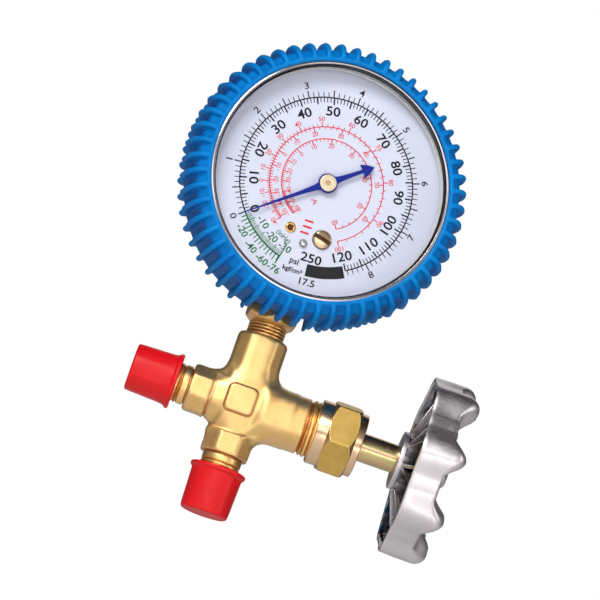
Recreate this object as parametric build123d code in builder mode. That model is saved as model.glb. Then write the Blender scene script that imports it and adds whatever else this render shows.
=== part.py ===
from build123d import *
from math import sin, cos, radians, pi, sqrt, atan2
import os

# ---------------------------------------------------------------------------
# Refrigerant charging valve with a compound gauge.
# Origin: where the valve axis (X) crosses the gauge axis (Z).
# +X towards the handwheel, +Z up through the gauge stem, dial faces -Y.
# All lengths in mm.
# ---------------------------------------------------------------------------

# forged body
left_arm_flats = 12.9
bottom_arm_flats = 13.3
shoulder_left = 15.3          # shoulder plane of the left port, from the origin
shoulder_bottom = 15.3        # shoulder plane of the bottom port
top_arm_radius = 7.1
top_arm_height = 19.7
bonnet_radius = 7.85
bonnet_shoulder = 18.4
bonnet_thread_radius = 8.0    # M16 x 1.5
bonnet_end = 30.0
blend_radius = 3.6
pad_width = 8.4
pad_height = 7.7
pad_face = 7.7

# flare ports, 7/16-20 UNF
port_thread_radius = 5.55
port_end = 29.8
port_bore_radius = 2.4
thread_pitch = 1.27

# valve chamber
chamber_radius = 4.3
seat_plane = -4.5
seat_holder_radius = 3.45      # leaves room round it for the gas to pass
stem_thread_bore = 5.05
packing_bore = 6.0
packing_floor = 22.5

# bonnet nut
nut_start = 21.4
nut_hex_start = 24.8
nut_hex_end = 32.6
nut_end = 34.6
nut_flats = 19.0
nut_collar_left = 9.1
nut_collar_right = 8.95
nut_turn = 6.3                # degrees the hexagon is turned from upright

# stem
stem_radius = 4.0
stem_thread_radius = 5.0
stem_square = 5.6
stem_end = 58.6

# handwheel
wheel_rear = 48.6
wheel_radius = 25.1
wheel_wave = 0.95
wheel_lobes = 8
wheel_phase = 86.5            # degrees from +Z towards -Y
wheel_face = 57.6
wheel_front = 61.6
wheel_wall = 2.2
hub_radius = 8.25
hub_rear = 45.3

# dust caps
cap_flange_radius = 7.8
cap_root_radius = 7.05
cap_end_radius = 6.35
cap_bore_radius = 5.68
cap_flange_at = 18.85
cap_end = 32.0

# gauge
gauge_height = 63.4
gauge_yaw = 7.3               # degrees the gauge faces away from -Y, towards +X
case_radius = 34.0
case_back = -9.0
bezel_outer = 35.0
bezel_lip = 31.8
bezel_front = 20.7
dial_face = 14.9
lens_back = 17.3
lens_front = 19.3
boot_bore_front = 35.1
boot_bore_rear = 34.1
boot_lip = 33.4
boot_front = 21.3
boot_rear = -1.0
boot_base = 37.3
boot_crest = 40.3
boot_ribs = 54
boot_rib_width = 1.6
socket_flats = 13.6
neck_radius = 5.2

# movement
sector_pivot = (8.0, -8.944)
gear_ratio = 9
sector_pitch = 10.8
pinion_pitch = 1.2
tail_pin = (12.915, -12.385)
tip_pin = (20.5, -3.0)
tube_radius = 25.4
tip_angle = -8.0
tube_sweep = 262.0

psi = radians(gauge_yaw)


def G(h, x=0.0, y=0.0):
    """Plane parallel to the dial, h in front of the gauge stem axis; x right, y up."""
    return Plane(
        origin=(x * cos(psi) + h * sin(psi), x * sin(psi) - h * cos(psi), gauge_height + y),
        x_dir=(cos(psi), sin(psi), 0),
        z_dir=(sin(psi), -cos(psi), 0),
    )


def GR(angle=0.0):
    """Plane holding the gauge axis and the radius at the given angle; x radius, y height."""
    a = radians(angle)
    rx = Vector(cos(a) * cos(psi), cos(a) * sin(psi), sin(a))
    n = Vector(sin(psi), -cos(psi), 0)
    return Plane(origin=(0, 0, gauge_height), x_dir=rx, z_dir=rx.cross(n))


gauge_axis = Axis((0, 0, gauge_height), (sin(psi), -cos(psi), 0))

# revolved profiles around the valve axis: sketch (x, radius) on XY
# revolved profiles around the gauge stem axis: sketch (radius, z) on XZ

os.makedirs("parts", exist_ok=True)

# --------------------------- forged valve body -----------------------------
with BuildPart() as valve_body:
    # left arm, octagonal
    with BuildSketch(Plane.YZ.offset(-shoulder_left)):
        RegularPolygon(left_arm_flats / 2, 8, major_radius=False, rotation=22.5)
    extrude(amount=shoulder_left + 2)
    # bottom arm, octagonal
    with BuildSketch(Plane.XY.offset(-shoulder_bottom)):
        RegularPolygon(bottom_arm_flats / 2, 8, major_radius=False, rotation=22.5)
    extrude(amount=shoulder_bottom + 2)
    chamfer(faces().filter_by(Axis.Z).sort_by(Axis.Z)[0].edges(), 0.6)
    chamfer(faces().filter_by(Axis.X).sort_by(Axis.X)[0].edges(), 0.6)
    # top arm that takes the gauge
    with BuildSketch(Plane.XY):
        RegularPolygon(top_arm_radius, 8, major_radius=False, rotation=22.5)
    extrude(amount=top_arm_height)
    chamfer(faces().filter_by(Axis.Z).sort_by(Axis.Z)[-1].edges(), 0.9)
    # round arm that carries the bonnet thread
    with BuildSketch(Plane.YZ):
        Circle(bonnet_radius)
    extrude(amount=bonnet_shoulder)
    # web between the arms, with rounded inner corners
    with BuildSketch(Plane.XZ.offset(-5.0)) as web:
        Rectangle(2 * top_arm_radius, 24, align=(Align.CENTER, Align.CENTER))
        with Locations((-12.0, 0)):
            Rectangle(4, left_arm_flats)
        with Locations((-6.0, 0)):
            Rectangle(12, left_arm_flats)
        with Locations((7.0, 0)):
            Rectangle(10, 2 * bonnet_radius)
        fillet(web.vertices().filter_by_position(Axis.X, -7.2, -6.6).filter_by_position(Axis.Y, -7.0, 7.0), blend_radius)
        fillet(web.vertices().filter_by_position(Axis.X, 6.6, 7.2).filter_by_position(Axis.Y, -8.2, 8.2), blend_radius)
    extrude(amount=10.0)
    # raised square pad on the front
    with BuildSketch(Plane.XZ.offset(5.0)):
        with Locations((-0.3, 0.3)):
            RectangleRounded(pad_width, pad_height, 1.8)
    extrude(amount=pad_face - 5.0)
    # bonnet thread with a run-out groove
    with BuildSketch(Plane.XY):
        with BuildLine():
            Polyline((bonnet_shoulder - 0.2, 0), (bonnet_shoulder - 0.2, 7.2), (bonnet_shoulder + 0.6, 7.2),
                     (bonnet_shoulder + 1.2, bonnet_thread_radius), (bonnet_end - 0.8, bonnet_thread_radius),
                     (bonnet_end, 7.2), (bonnet_end, 0), close=True)
        make_face()
    revolve(axis=Axis.X)
    # flare port on the left
    with BuildSketch(Plane.XY):
        with BuildLine():
            Polyline((-shoulder_left + 0.2, 0), (-shoulder_left + 0.2, 4.9), (-shoulder_left - 0.7, 4.9),
                     (-shoulder_left - 1.3, port_thread_radius), (-port_end + 3.0, port_thread_radius),
                     (-port_end + 2.2, 4.75), (-port_end, 2.9), (-port_end, 0), close=True)
        make_face()
    revolve(axis=Axis.X)
    # flare port at the bottom
    with BuildSketch(Plane.XZ):
        with BuildLine():
            Polyline((0, -shoulder_bottom + 0.2), (4.9, -shoulder_bottom + 0.2), (4.9, -shoulder_bottom - 0.7),
                     (port_thread_radius, -shoulder_bottom - 1.3), (port_thread_radius, -port_end + 3.0),
                     (4.75, -port_end + 2.2), (2.9, -port_end), (0, -port_end), close=True)
        make_face()
    revolve(axis=Axis.Z)
    # passages: valve chamber, stem thread, packing chamber
    with BuildSketch(Plane.XY):
        with BuildLine():
            Polyline((seat_plane, 0), (seat_plane, chamber_radius), (7.5, chamber_radius), (7.5, stem_thread_bore),
                     (packing_floor, stem_thread_bore), (packing_floor, packing_bore), (bonnet_end + 1, packing_bore),
                     (bonnet_end + 1, 0), close=True)
        make_face()
    revolve(axis=Axis.X, mode=Mode.SUBTRACT)
    with BuildSketch(Plane.YZ.offset(-port_end - 1)):
        Circle(port_bore_radius)
    extrude(amount=port_end, mode=Mode.SUBTRACT)
    with BuildSketch(Plane.XY.offset(-port_end - 1)):
        Circle(port_bore_radius)
    extrude(amount=port_end, mode=Mode.SUBTRACT)
    with BuildSketch(Plane.XY):
        Circle(2.5)
    extrude(amount=12, mode=Mode.SUBTRACT)
    with BuildSketch(Plane.XY.offset(10.6)):
        Circle(neck_radius + 0.08)
    extrude(amount=12, mode=Mode.SUBTRACT)
valve_body.part.label = "valve_body"
export_step(valve_body.part, "parts/valve_body.step")

# --------------------------- bonnet nut -------------------------------------
with BuildPart() as bonnet_nut:
    with BuildSketch(Plane.YZ.offset(nut_hex_start)):
        RegularPolygon(nut_flats / 2, 6, major_radius=False, rotation=-nut_turn)
    extrude(amount=nut_hex_end - nut_hex_start)
    # both ends of the hexagon are turned to a cone
    with BuildSketch(Plane.XY):
        with BuildLine():
            Polyline((nut_hex_start - 0.1, 0), (nut_hex_start - 0.1, 9.75), (nut_hex_start + 0.75, 11.2),
                     (nut_hex_end - 0.75, 11.2), (nut_hex_end + 0.1, 9.75), (nut_hex_end + 0.1, 0), close=True)
        make_face()
    revolve(axis=Axis.X, mode=Mode.INTERSECT)
    with BuildSketch(Plane.XY):
        with BuildLine():
            Polyline((nut_start, 0), (nut_start, 8.8), (nut_start + 0.3, nut_collar_left),
                     (nut_hex_start + 0.2, nut_collar_left), (nut_hex_start + 0.2, 0), close=True)
        make_face()
        with BuildLine():
            Polyline((nut_hex_end - 0.2, 0), (nut_hex_end - 0.2, nut_collar_right), (nut_end - 0.4, nut_collar_right),
                     (nut_end, 8.55), (nut_end, 0), close=True)
        make_face()
    revolve(axis=Axis.X)
    with BuildSketch(Plane.XY):
        with BuildLine():
            Polyline((nut_start - 1, 0), (nut_start - 1, 8.1), (31.2, 8.1), (31.2, 7.2), (32.4, 7.2), (32.4, 4.2),
                     (nut_end - 0.5, 4.2), (nut_end + 0.5, 5.2), (nut_end + 0.5, 0), close=True)
        make_face()
    revolve(axis=Axis.X, mode=Mode.SUBTRACT)
bonnet_nut.part.label = "bonnet_nut"
export_step(bonnet_nut.part, "parts/bonnet_nut.step")

# --------------------------- packing ----------------------------------------
with BuildPart() as packing_washer:
    with BuildSketch(Plane.YZ.offset(packing_floor + 0.05)):
        Circle(packing_bore - 0.06)
        Circle(stem_radius + 0.08, mode=Mode.SUBTRACT)
    extrude(amount=1.0)
packing_washer.part.label = "packing_washer"
export_step(packing_washer.part, "parts/packing_washer.step")

with BuildPart() as packing_rings:
    for i in range(3):
        x0 = 23.7 + 1.75 * i
        with BuildSketch(Plane.XY):
            with BuildLine():
                Polyline((x0, stem_radius + 0.04), (x0 + 0.35, 4.9), (x0, packing_bore - 0.04),
                         (x0 + 1.3, packing_bore - 0.04), (x0 + 1.65, 4.9), (x0 + 1.3, stem_radius + 0.04), close=True)
            make_face()
        revolve(axis=Axis.X)
packing_rings.part.label = "packing_rings"
export_step(packing_rings.part, "parts/packing_rings.step")

with BuildPart() as packing_gland:
    with BuildSketch(Plane.XY):
        with BuildLine():
            Polyline((29.15, stem_radius + 0.06), (29.15, packing_bore - 0.08), (30.3, packing_bore - 0.08),
                     (30.3, 7.1), (32.3, 7.1), (32.3, stem_radius + 0.06), close=True)
        make_face()
    revolve(axis=Axis.X)
packing_gland.part.label = "packing_gland"
export_step(packing_gland.part, "parts/packing_gland.step")

# --------------------------- valve stem and seat disc -----------------------
with BuildPart() as valve_stem:
    with BuildSketch(Plane.XY):
        with BuildLine():
            Polyline((-1.9, 0), (-1.9, 1.45), (1.2, 1.45), (1.2, 3.4), (7.9, 3.4), (8.6, stem_thread_radius),
                     (15.6, stem_thread_radius), (16.2, stem_radius), (48.0, stem_radius), (48.0, 0), close=True)
        make_face()
    revolve(axis=Axis.X)
    with BuildSketch(Plane.YZ.offset(48.0)):
        Rectangle(stem_square, stem_square)
    extrude(amount=9.0)
    with BuildSketch(Plane.YZ.offset(57.5)):
        Circle(1.65)
    extrude(amount=-8, mode=Mode.SUBTRACT)
valve_stem.part.label = "valve_stem"
export_step(valve_stem.part, "parts/valve_stem.step")

# disc that stays still against the seat while the stem turns in it
with BuildPart() as seat_holder:
    with BuildSketch(Plane.XY):
        with BuildLine():
            Polyline((-3.3, 0), (-3.3, seat_holder_radius), (1.1, seat_holder_radius), (1.1, 1.5), (-1.95, 1.5), (-1.95, 0), close=True)
        make_face()
    revolve(axis=Axis.X)
seat_holder.part.label = "seat_holder"
export_step(seat_holder.part, "parts/seat_holder.step")

with BuildPart() as seat_disc:
    with BuildSketch(Plane.YZ.offset(seat_plane + 0.02)):
        Circle(3.4)
    extrude(amount=1.18)
seat_disc.part.label = "seat_disc"
export_step(seat_disc.part, "parts/seat_disc.step")

# --------------------------- handwheel --------------------------------------
def wave(radius, amplitude):
    """Closed scalloped outline in the YZ plane: local x is Y, local y is Z."""
    pts = []
    n = wheel_lobes * 8
    for i in range(n):
        a = 360.0 * i / n
        r = radius + amplitude * cos(radians(wheel_lobes * a))
        b = radians(a + wheel_phase)
        pts.append((-r * sin(b), r * cos(b)))
    return pts


with BuildPart() as handwheel:
    # skirt and face with a scalloped edge
    with BuildSketch(Plane.YZ.offset(wheel_rear)):
        with BuildLine():
            Spline(*wave(wheel_radius, wheel_wave), periodic=True)
        make_face()
    extrude(amount=wheel_face - wheel_rear)
    # finger lobes that stand forward of the face
    for k in range(wheel_lobes):
        b = radians(wheel_phase + 360.0 / wheel_lobes * k)
        with BuildSketch(Plane.YZ.offset(wheel_face - 1.0)):
            with Locations((-19.4 * sin(b), 19.4 * cos(b))):
                Circle(5.3)
        extrude(amount=wheel_front - wheel_face + 1.0)
    fillet(faces().filter_by(Axis.X).sort_by(Axis.X)[-wheel_lobes:].edges(), 2.4)
    # hollow back
    with BuildSketch(Plane.YZ.offset(wheel_rear - 0.5)):
        with BuildLine():
            Spline(*wave(wheel_radius - wheel_wall, wheel_wave), periodic=True)
        make_face()
    extrude(amount=wheel_face - wheel_rear - 1.8, mode=Mode.SUBTRACT)
    # hub with spokes
    with BuildSketch(Plane.YZ.offset(hub_rear)):
        Circle(hub_radius)
    extrude(amount=wheel_face - hub_rear + 0.6)
    for k in range(wheel_lobes):
        a = wheel_phase + 22.5 + 45 * k
        with BuildSketch(Plane(origin=(50.4, 0, 0), x_dir=(0, -sin(radians(a)), cos(radians(a))), z_dir=(1, 0, 0))):
            with Locations((15.6, 0)):
                Rectangle(16.4, 1.6)
        extrude(amount=wheel_face - 50.4 - 1.0)
    # bore: round for the shank, square for the drive, recess for the screw
    with BuildSketch(Plane.YZ.offset(hub_rear - 1)):
        Circle(stem_radius + 0.06)
    extrude(amount=49.0 - hub_rear, mode=Mode.SUBTRACT)
    with BuildSketch(Plane.YZ.offset(hub_rear)):
        Rectangle(stem_square + 0.12, stem_square + 0.12)
    extrude(amount=20, mode=Mode.SUBTRACT)
    with BuildSketch(Plane.YZ.offset(57.2)):
        Circle(5.6)
    extrude(amount=5, mode=Mode.SUBTRACT)
handwheel.part.label = "handwheel"
export_step(handwheel.part, "parts/handwheel.step")

with BuildPart() as handwheel_washer:
    with BuildSketch(Plane.YZ.offset(57.25)):
        Circle(5.2)
        Circle(2.15, mode=Mode.SUBTRACT)
    extrude(amount=0.8)
handwheel_washer.part.label = "handwheel_washer"
export_step(handwheel_washer.part, "parts/handwheel_washer.step")

with BuildPart() as handwheel_screw:
    with BuildSketch(Plane.XY):
        with BuildLine():
            Polyline((50.6, 0), (50.6, 1.6), (58.1, 1.6), (58.1, 3.9), (59.3, 3.7), (60.2, 2.7), (60.5, 0), close=True)
        make_face()
    revolve(axis=Axis.X)
    with BuildSketch(Plane.YZ.offset(59.2)):
        Rectangle(4.4, 0.9)
        Rectangle(0.9, 4.4)
    extrude(amount=2, mode=Mode.SUBTRACT)
handwheel_screw.part.label = "handwheel_screw"
export_step(handwheel_screw.part, "parts/handwheel_screw.step")

# --------------------------- dust caps --------------------------------------
with BuildPart() as left_port_cap:
    with BuildSketch(Plane.XY):
        with BuildLine():
            Polyline((-cap_flange_at, 0), (-cap_flange_at, 7.4), (-cap_flange_at - 0.4, cap_flange_radius),
                     (-cap_flange_at - 0.9, cap_flange_radius), (-cap_flange_at - 1.7, cap_root_radius),
                     (-cap_end + 1.5, cap_end_radius + 0.1), (-cap_end + 0.45, cap_end_radius - 0.45),
                     (-cap_end, cap_end_radius - 1.5), (-cap_end, 0), close=True)
        make_face()
    revolve(axis=Axis.X)
    with BuildSketch(Plane.YZ.offset(-cap_flange_at + 1)):
        Circle(cap_bore_radius)
    extrude(amount=-(port_end + 0.4 - cap_flange_at + 1), mode=Mode.SUBTRACT)
left_port_cap.part.label = "left_port_cap"
export_step(left_port_cap.part, "parts/left_port_cap.step")

with BuildPart() as bottom_port_cap:
    with BuildSketch(Plane.XZ):
        with BuildLine():
            Polyline((0, -cap_flange_at), (7.4, -cap_flange_at), (cap_flange_radius, -cap_flange_at - 0.4),
                     (cap_flange_radius, -cap_flange_at - 0.9), (cap_root_radius, -cap_flange_at - 1.7),
                     (cap_end_radius + 0.1, -cap_end + 1.5), (cap_end_radius - 0.45, -cap_end + 0.45),
                     (cap_end_radius - 1.5, -cap_end), (0, -cap_end), close=True)
        make_face()
    revolve(axis=Axis.Z)
    with BuildSketch(Plane.XY.offset(-cap_flange_at + 1)):
        Circle(cap_bore_radius)
    extrude(amount=-(port_end + 0.4 - cap_flange_at + 1), mode=Mode.SUBTRACT)
bottom_port_cap.part.label = "bottom_port_cap"
export_step(bottom_port_cap.part, "parts/bottom_port_cap.step")

# --------------------------- gauge socket -----------------------------------
case_floor = gauge_height - case_radius
with BuildPart() as gauge_socket:
    # pipe thread and neck
    with BuildSketch(Plane.XY.offset(11.2)):
        Circle(neck_radius)
    extrude(amount=12.5)
    # hexagon with a turned lower edge
    with BuildSketch(Plane(origin=(0, 0, 23.1), x_dir=(cos(psi), sin(psi), 0), z_dir=(0, 0, 1))):
        RegularPolygon(socket_flats / 2, 6, major_radius=False, rotation=90)
    extrude(amount=case_floor - 23.1 - 0.5)
    with BuildSketch(Plane.XZ):
        with BuildLine():
            Polyline((0, 10), (neck_radius, 10), (neck_radius, 23.1), (5.6, 23.1), (8.3, 24.9), (8.3, 40), (0, 40), close=True)
        make_face()
    revolve(axis=Axis.Z, mode=Mode.INTERSECT)
    # round shank through the case wall and the block inside the case
    with BuildSketch(Plane.XY.offset(case_floor - 0.6)):
        Circle(6.4)
    extrude(amount=3.0)
    with BuildSketch(Plane(origin=(0, 0, case_floor + 2.0), x_dir=(cos(psi), sin(psi), 0), z_dir=(0, 0, 1))):
        with Locations((0, 0.3)):
            Rectangle(13.0, 11.2)
    extrude(amount=15.0)
    with BuildSketch(Plane(origin=(0, 0, case_floor + 4.2), x_dir=(cos(psi), sin(psi), 0), z_dir=(0, 0, 1))):
        with Locations((0, 6.7)):
            Rectangle(13.0, 2.4)
    extrude(amount=12.8)
    # pressure passage up and across to the tube
    with BuildSketch(Plane.XY.offset(11.0)):
        Circle(1.6)
    extrude(amount=case_floor - 11.0 + 10.5, mode=Mode.SUBTRACT)
    with BuildSketch(Plane(origin=(0, 0, case_floor + 8.6), x_dir=(0, 0, 1), z_dir=(-cos(psi), -sin(psi), 0))):
        Circle(1.0)
    extrude(amount=10, mode=Mode.SUBTRACT)
    # tapped holes for the movement in front and for the case behind
    with BuildSketch(G(1.2)):
        with Locations((-3.4, -19.6), (3.4, -19.6)):
            Circle(0.86)
    extrude(amount=6, mode=Mode.SUBTRACT)
    with BuildSketch(G(-2.4)):
        with Locations((-4.0, -24.5), (4.0, -24.5)):
            Circle(1.56)
    extrude(amount=-8, mode=Mode.SUBTRACT)
gauge_socket.part.label = "gauge_socket"
export_step(gauge_socket.part, "parts/gauge_socket.step")

# --------------------------- gauge case -------------------------------------
with BuildPart() as gauge_case:
    with BuildSketch(GR()):
        with BuildLine():
            Polyline((0, case_back), (case_radius - 3.0, case_back), (case_radius - 0.9, case_back + 0.9),
                     (case_radius, case_back + 3.0), (case_radius, 17.0), (case_radius - 1.0, 17.0),
                     (case_radius - 1.0, case_back + 3.2), (case_radius - 1.8, case_back + 1.6),
                     (case_radius - 3.3, case_back + 1.0), (0, case_back + 1.0), close=True)
        make_face()
    revolve(axis=gauge_axis)
    # hole for the socket
    with BuildSketch(Plane.XY.offset(case_floor - 4)):
        Circle(6.6)
    extrude(amount=12, mode=Mode.SUBTRACT)
    # two holes for the socket screws in the back
    with BuildSketch(G(case_back - 1, 0, -24.5)):
        with Locations((-4.0, 0), (4.0, 0)):
            Circle(1.7)
    extrude(amount=3, mode=Mode.SUBTRACT)
    # pressure relief hole
    with BuildSketch(G(case_back - 1, 0, 17)):
        Circle(3.2)
    extrude(amount=3, mode=Mode.SUBTRACT)
gauge_case.part.label = "gauge_case"
export_step(gauge_case.part, "parts/gauge_case.step")

with BuildPart() as relief_plug:
    with BuildSketch(GR()):
        with BuildLine():
            Polyline((0, case_back - 0.9), (3.9, case_back - 0.9), (4.4, case_back - 0.1), (3.1, case_back - 0.1),
                     (3.1, case_back + 1.1), (3.7, case_back + 1.5), (2.6, case_back + 2.2), (0, case_back + 2.2), close=True)
        make_face()
    revolve(axis=gauge_axis)
relief_plug.part = relief_plug.part.moved(Location((0, 0, 17)))
relief_plug.part.label = "relief_plug"
export_step(relief_plug.part, "parts/relief_plug.step")

# screws that hold the socket to the back of the case
with BuildPart() as case_screws:
    for x in (-4.0, 4.0):
        with BuildSketch(G(-2.6, x, -24.5)):
            Circle(1.5)
        extrude(amount=-6.6)
        with BuildSketch(G(case_back - 0.05, x, -24.5)):
            Circle(2.9)
        extrude(amount=-1.6, taper=20)
        with BuildSketch(G(case_back - 0.9, x, -24.5)):
            Rectangle(0.8, 3.4)
            Rectangle(3.4, 0.8)
        extrude(amount=-2, mode=Mode.SUBTRACT)
case_screws.part.label = "case_screws"
export_step(case_screws.part, "parts/case_screws.step")

# --------------------------- bezel, lens, gasket -----------------------------
with BuildPart() as bezel:
    with BuildSketch(GR()):
        with BuildLine():
            Polyline((34.15, 12.2), (bezel_outer, 12.2), (bezel_outer, 19.6), (34.5, 20.3), (33.4, bezel_front),
                     (bezel_lip + 0.3, bezel_front), (bezel_lip, 20.4), (bezel_lip, 19.45), (33.9, 19.45), (34.15, 19.0), close=True)
        make_face()
    revolve(axis=gauge_axis)
bezel.part.label = "bezel"
export_step(bezel.part, "parts/bezel.step")

with BuildPart() as lens:
    with BuildSketch(G(lens_back)):
        Circle(33.7)
    extrude(amount=lens_front - lens_back)
lens.part.label = "lens"
export_step(lens.part, "parts/lens.step")

with BuildPart() as lens_gasket:
    with BuildSketch(GR()):
        with BuildLine():
            Polyline((32.1, 15.35), (32.95, 15.35), (32.95, 17.1), (33.7, 17.1), (33.7, 17.25), (32.1, 17.25), close=True)
        make_face()
    revolve(axis=gauge_axis)
lens_gasket.part.label = "lens_gasket"
export_step(lens_gasket.part, "parts/lens_gasket.step")

# --------------------------- rubber boot -------------------------------------
with BuildPart() as boot:
    with BuildSketch(GR()):
        with BuildLine():
            Polyline((boot_bore_rear, boot_rear), (36.6, boot_rear), (boot_base, boot_rear + 1.0), (boot_base, 17.6),
                     (36.9, 19.4), (35.9, 20.9), (34.9, boot_front), (34.0, 21.2), (boot_lip, 20.85),
                     (34.6, 20.45), (boot_bore_front, 19.8), (boot_bore_front, 12.0), (boot_bore_rear, 12.0), close=True)
        make_face()
    revolve(axis=gauge_axis)
    # grip ribs, arched along the boot
    for k in range(boot_ribs):
        with BuildSketch(GR(360.0 / boot_ribs * (k + 0.5))):
            with BuildLine():
                l1 = Polyline((36.2, -0.3), (38.0, 0.3), (39.2, 2.4))
                l2 = ThreePointArc((39.2, 2.4), (boot_crest, 10.6), (38.9, 17.0))
                l3 = Polyline((38.9, 17.0), (37.8, 18.6), (36.2, 19.5), (36.2, -0.3))
            make_face()
        extrude(amount=boot_rib_width / 2, both=True)
    # notch for the socket, open to the back
    with BuildSketch(Plane(origin=(0, 0, gauge_height - 30), x_dir=(cos(psi), sin(psi), 0), z_dir=(0, 0, -1))):
        with Locations((0, -0.5)):
            Rectangle(18.0, 17.4)
    extrude(amount=14, mode=Mode.SUBTRACT)
boot.part.label = "boot"
export_step(boot.part, "parts/boot.step")

# --------------------------- dial --------------------------------------------
with BuildPart() as dial:
    with BuildSketch(G(dial_face - 0.5)):
        Circle(32.4)
        Circle(1.0, mode=Mode.SUBTRACT)
        with Locations((3.8, -15.2)):
            Circle(2.75, mode=Mode.SUBTRACT)
        with Locations((-5.6, -15.1)):
            Circle(1.05, mode=Mode.SUBTRACT)
        with Locations((-0.8, -18.1)):
            Circle(0.75, mode=Mode.SUBTRACT)
    extrude(amount=0.5)
dial.part.label = "dial"
export_step(dial.part, "parts/dial.step")

with BuildPart() as dial_eyelets:
    for x, y in ((-5.6, -15.1),):
        with BuildSketch(G(11.1, x, y)):
            Circle(1.0)
            Circle(0.7, mode=Mode.SUBTRACT)
        extrude(amount=dial_face - 11.1 + 0.02)
        with BuildSketch(G(dial_face + 0.02, x, y)):
            Circle(1.55)
            Circle(0.85, mode=Mode.SUBTRACT)
        extrude(amount=0.35)
dial_eyelets.part.label = "dial_eyelet"
export_step(dial_eyelets.part, "parts/dial_eyelet.step")

with BuildPart() as stop_pin:
    with BuildSketch(G(11.1, -0.8, -18.1)):
        Circle(0.7)
    extrude(amount=dial_face + 1.0 - 11.1)
    with BuildSketch(G(dial_face + 0.02, -0.8, -18.1)):
        Circle(1.05)
    extrude(amount=1.0)
stop_pin.part.label = "stop_pin"
export_step(stop_pin.part, "parts/stop_pin.step")

with BuildPart() as calibration_screw:
    with BuildSketch(G(9.2, 3.8, -15.2)):
        Circle(1.25)
    extrude(amount=5.2)
    with BuildSketch(G(13.6, 3.8, -15.2)):
        Circle(2.55)
    extrude(amount=1.75)
    with BuildSketch(G(14.6, 3.8, -15.2)):
        Rectangle(6.0, 0.8, rotation=-12)
    extrude(amount=2, mode=Mode.SUBTRACT)
calibration_screw.part.label = "calibration_screw"
export_step(calibration_screw.part, "parts/calibration_screw.step")

# --------------------------- pointer -----------------------------------------
pointer_rest = 220.0          # degrees from right, anticlockwise, at zero
with BuildPart() as pointer:
    with BuildSketch(G(16.1)):
        with BuildLine(Plane.XY.rotated((0, 0, 0))):
            ca, sa = cos(radians(pointer_rest)), sin(radians(pointer_rest))
            P = lambda u, v: (u * ca - v * sa, u * sa + v * ca)
            Polyline(P(2.0, 0.85), P(25.4, 0.14), P(25.4, -0.14), P(2.0, -0.85), P(-2.0, -0.8), P(-10.4, -0.42),
                     P(-10.4, -1.7), P(-11.3, -2.3), P(-14.0, 0), P(-11.3, 2.3), P(-10.4, 1.7), P(-10.4, 0.42),
                     P(-2.0, 0.8), close=True)
        make_face()
        Circle(2.75)
        Circle(0.98, mode=Mode.SUBTRACT)
    extrude(amount=0.3)
pointer.part.label = "pointer"
export_step(pointer.part, "parts/pointer.step")

with BuildPart() as pointer_hub:
    with BuildSketch(G(15.4)):
        Circle(1.3)
    extrude(amount=0.68)
    with BuildSketch(G(15.8)):
        Circle(0.96)
    extrude(amount=0.8)
    with BuildSketch(G(16.42)):
        Circle(2.3)
    extrude(amount=0.5)
    with BuildSketch(G(15.0)):
        Circle(0.62)
    extrude(amount=3, mode=Mode.SUBTRACT)
pointer_hub.part.label = "pointer_hub"
export_step(pointer_hub.part, "parts/pointer_hub.step")

# --------------------------- movement ----------------------------------------
def tooth_points(radius, count, first, last, tip, root, half_tip, half_root, sign=1):
    """Outline of thin gear teeth from tooth number first to last."""
    pts = []
    for i in range(first, last + 1):
        a = 2 * pi / count * i
        for r, w in ((root, -half_root), (tip, -half_tip), (tip, half_tip), (root, half_root)):
            pts.append((r * cos(a + w / r), r * sin(a + w / r)))
    return pts


with BuildPart() as pinion:
    with BuildSketch(G(7.0)):
        with BuildLine():
            # a gap faces the sector at rest
            turn = atan2(sector_pivot[1], sector_pivot[0]) + pi / 8
            pts = tooth_points(pinion_pitch, 8, 0, 7, 1.5, 0.8, 0.10, 0.24)
            Polyline(*[(x * cos(turn) - y * sin(turn), x * sin(turn) + y * cos(turn)) for x, y in pts], close=True)
        make_face()
    extrude(amount=1.5)
    with BuildSketch(G(5.9)):
        Circle(0.6)
    extrude(amount=11.2)
pinion.part.label = "pinion"
export_step(pinion.part, "parts/pinion.step")

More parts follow.
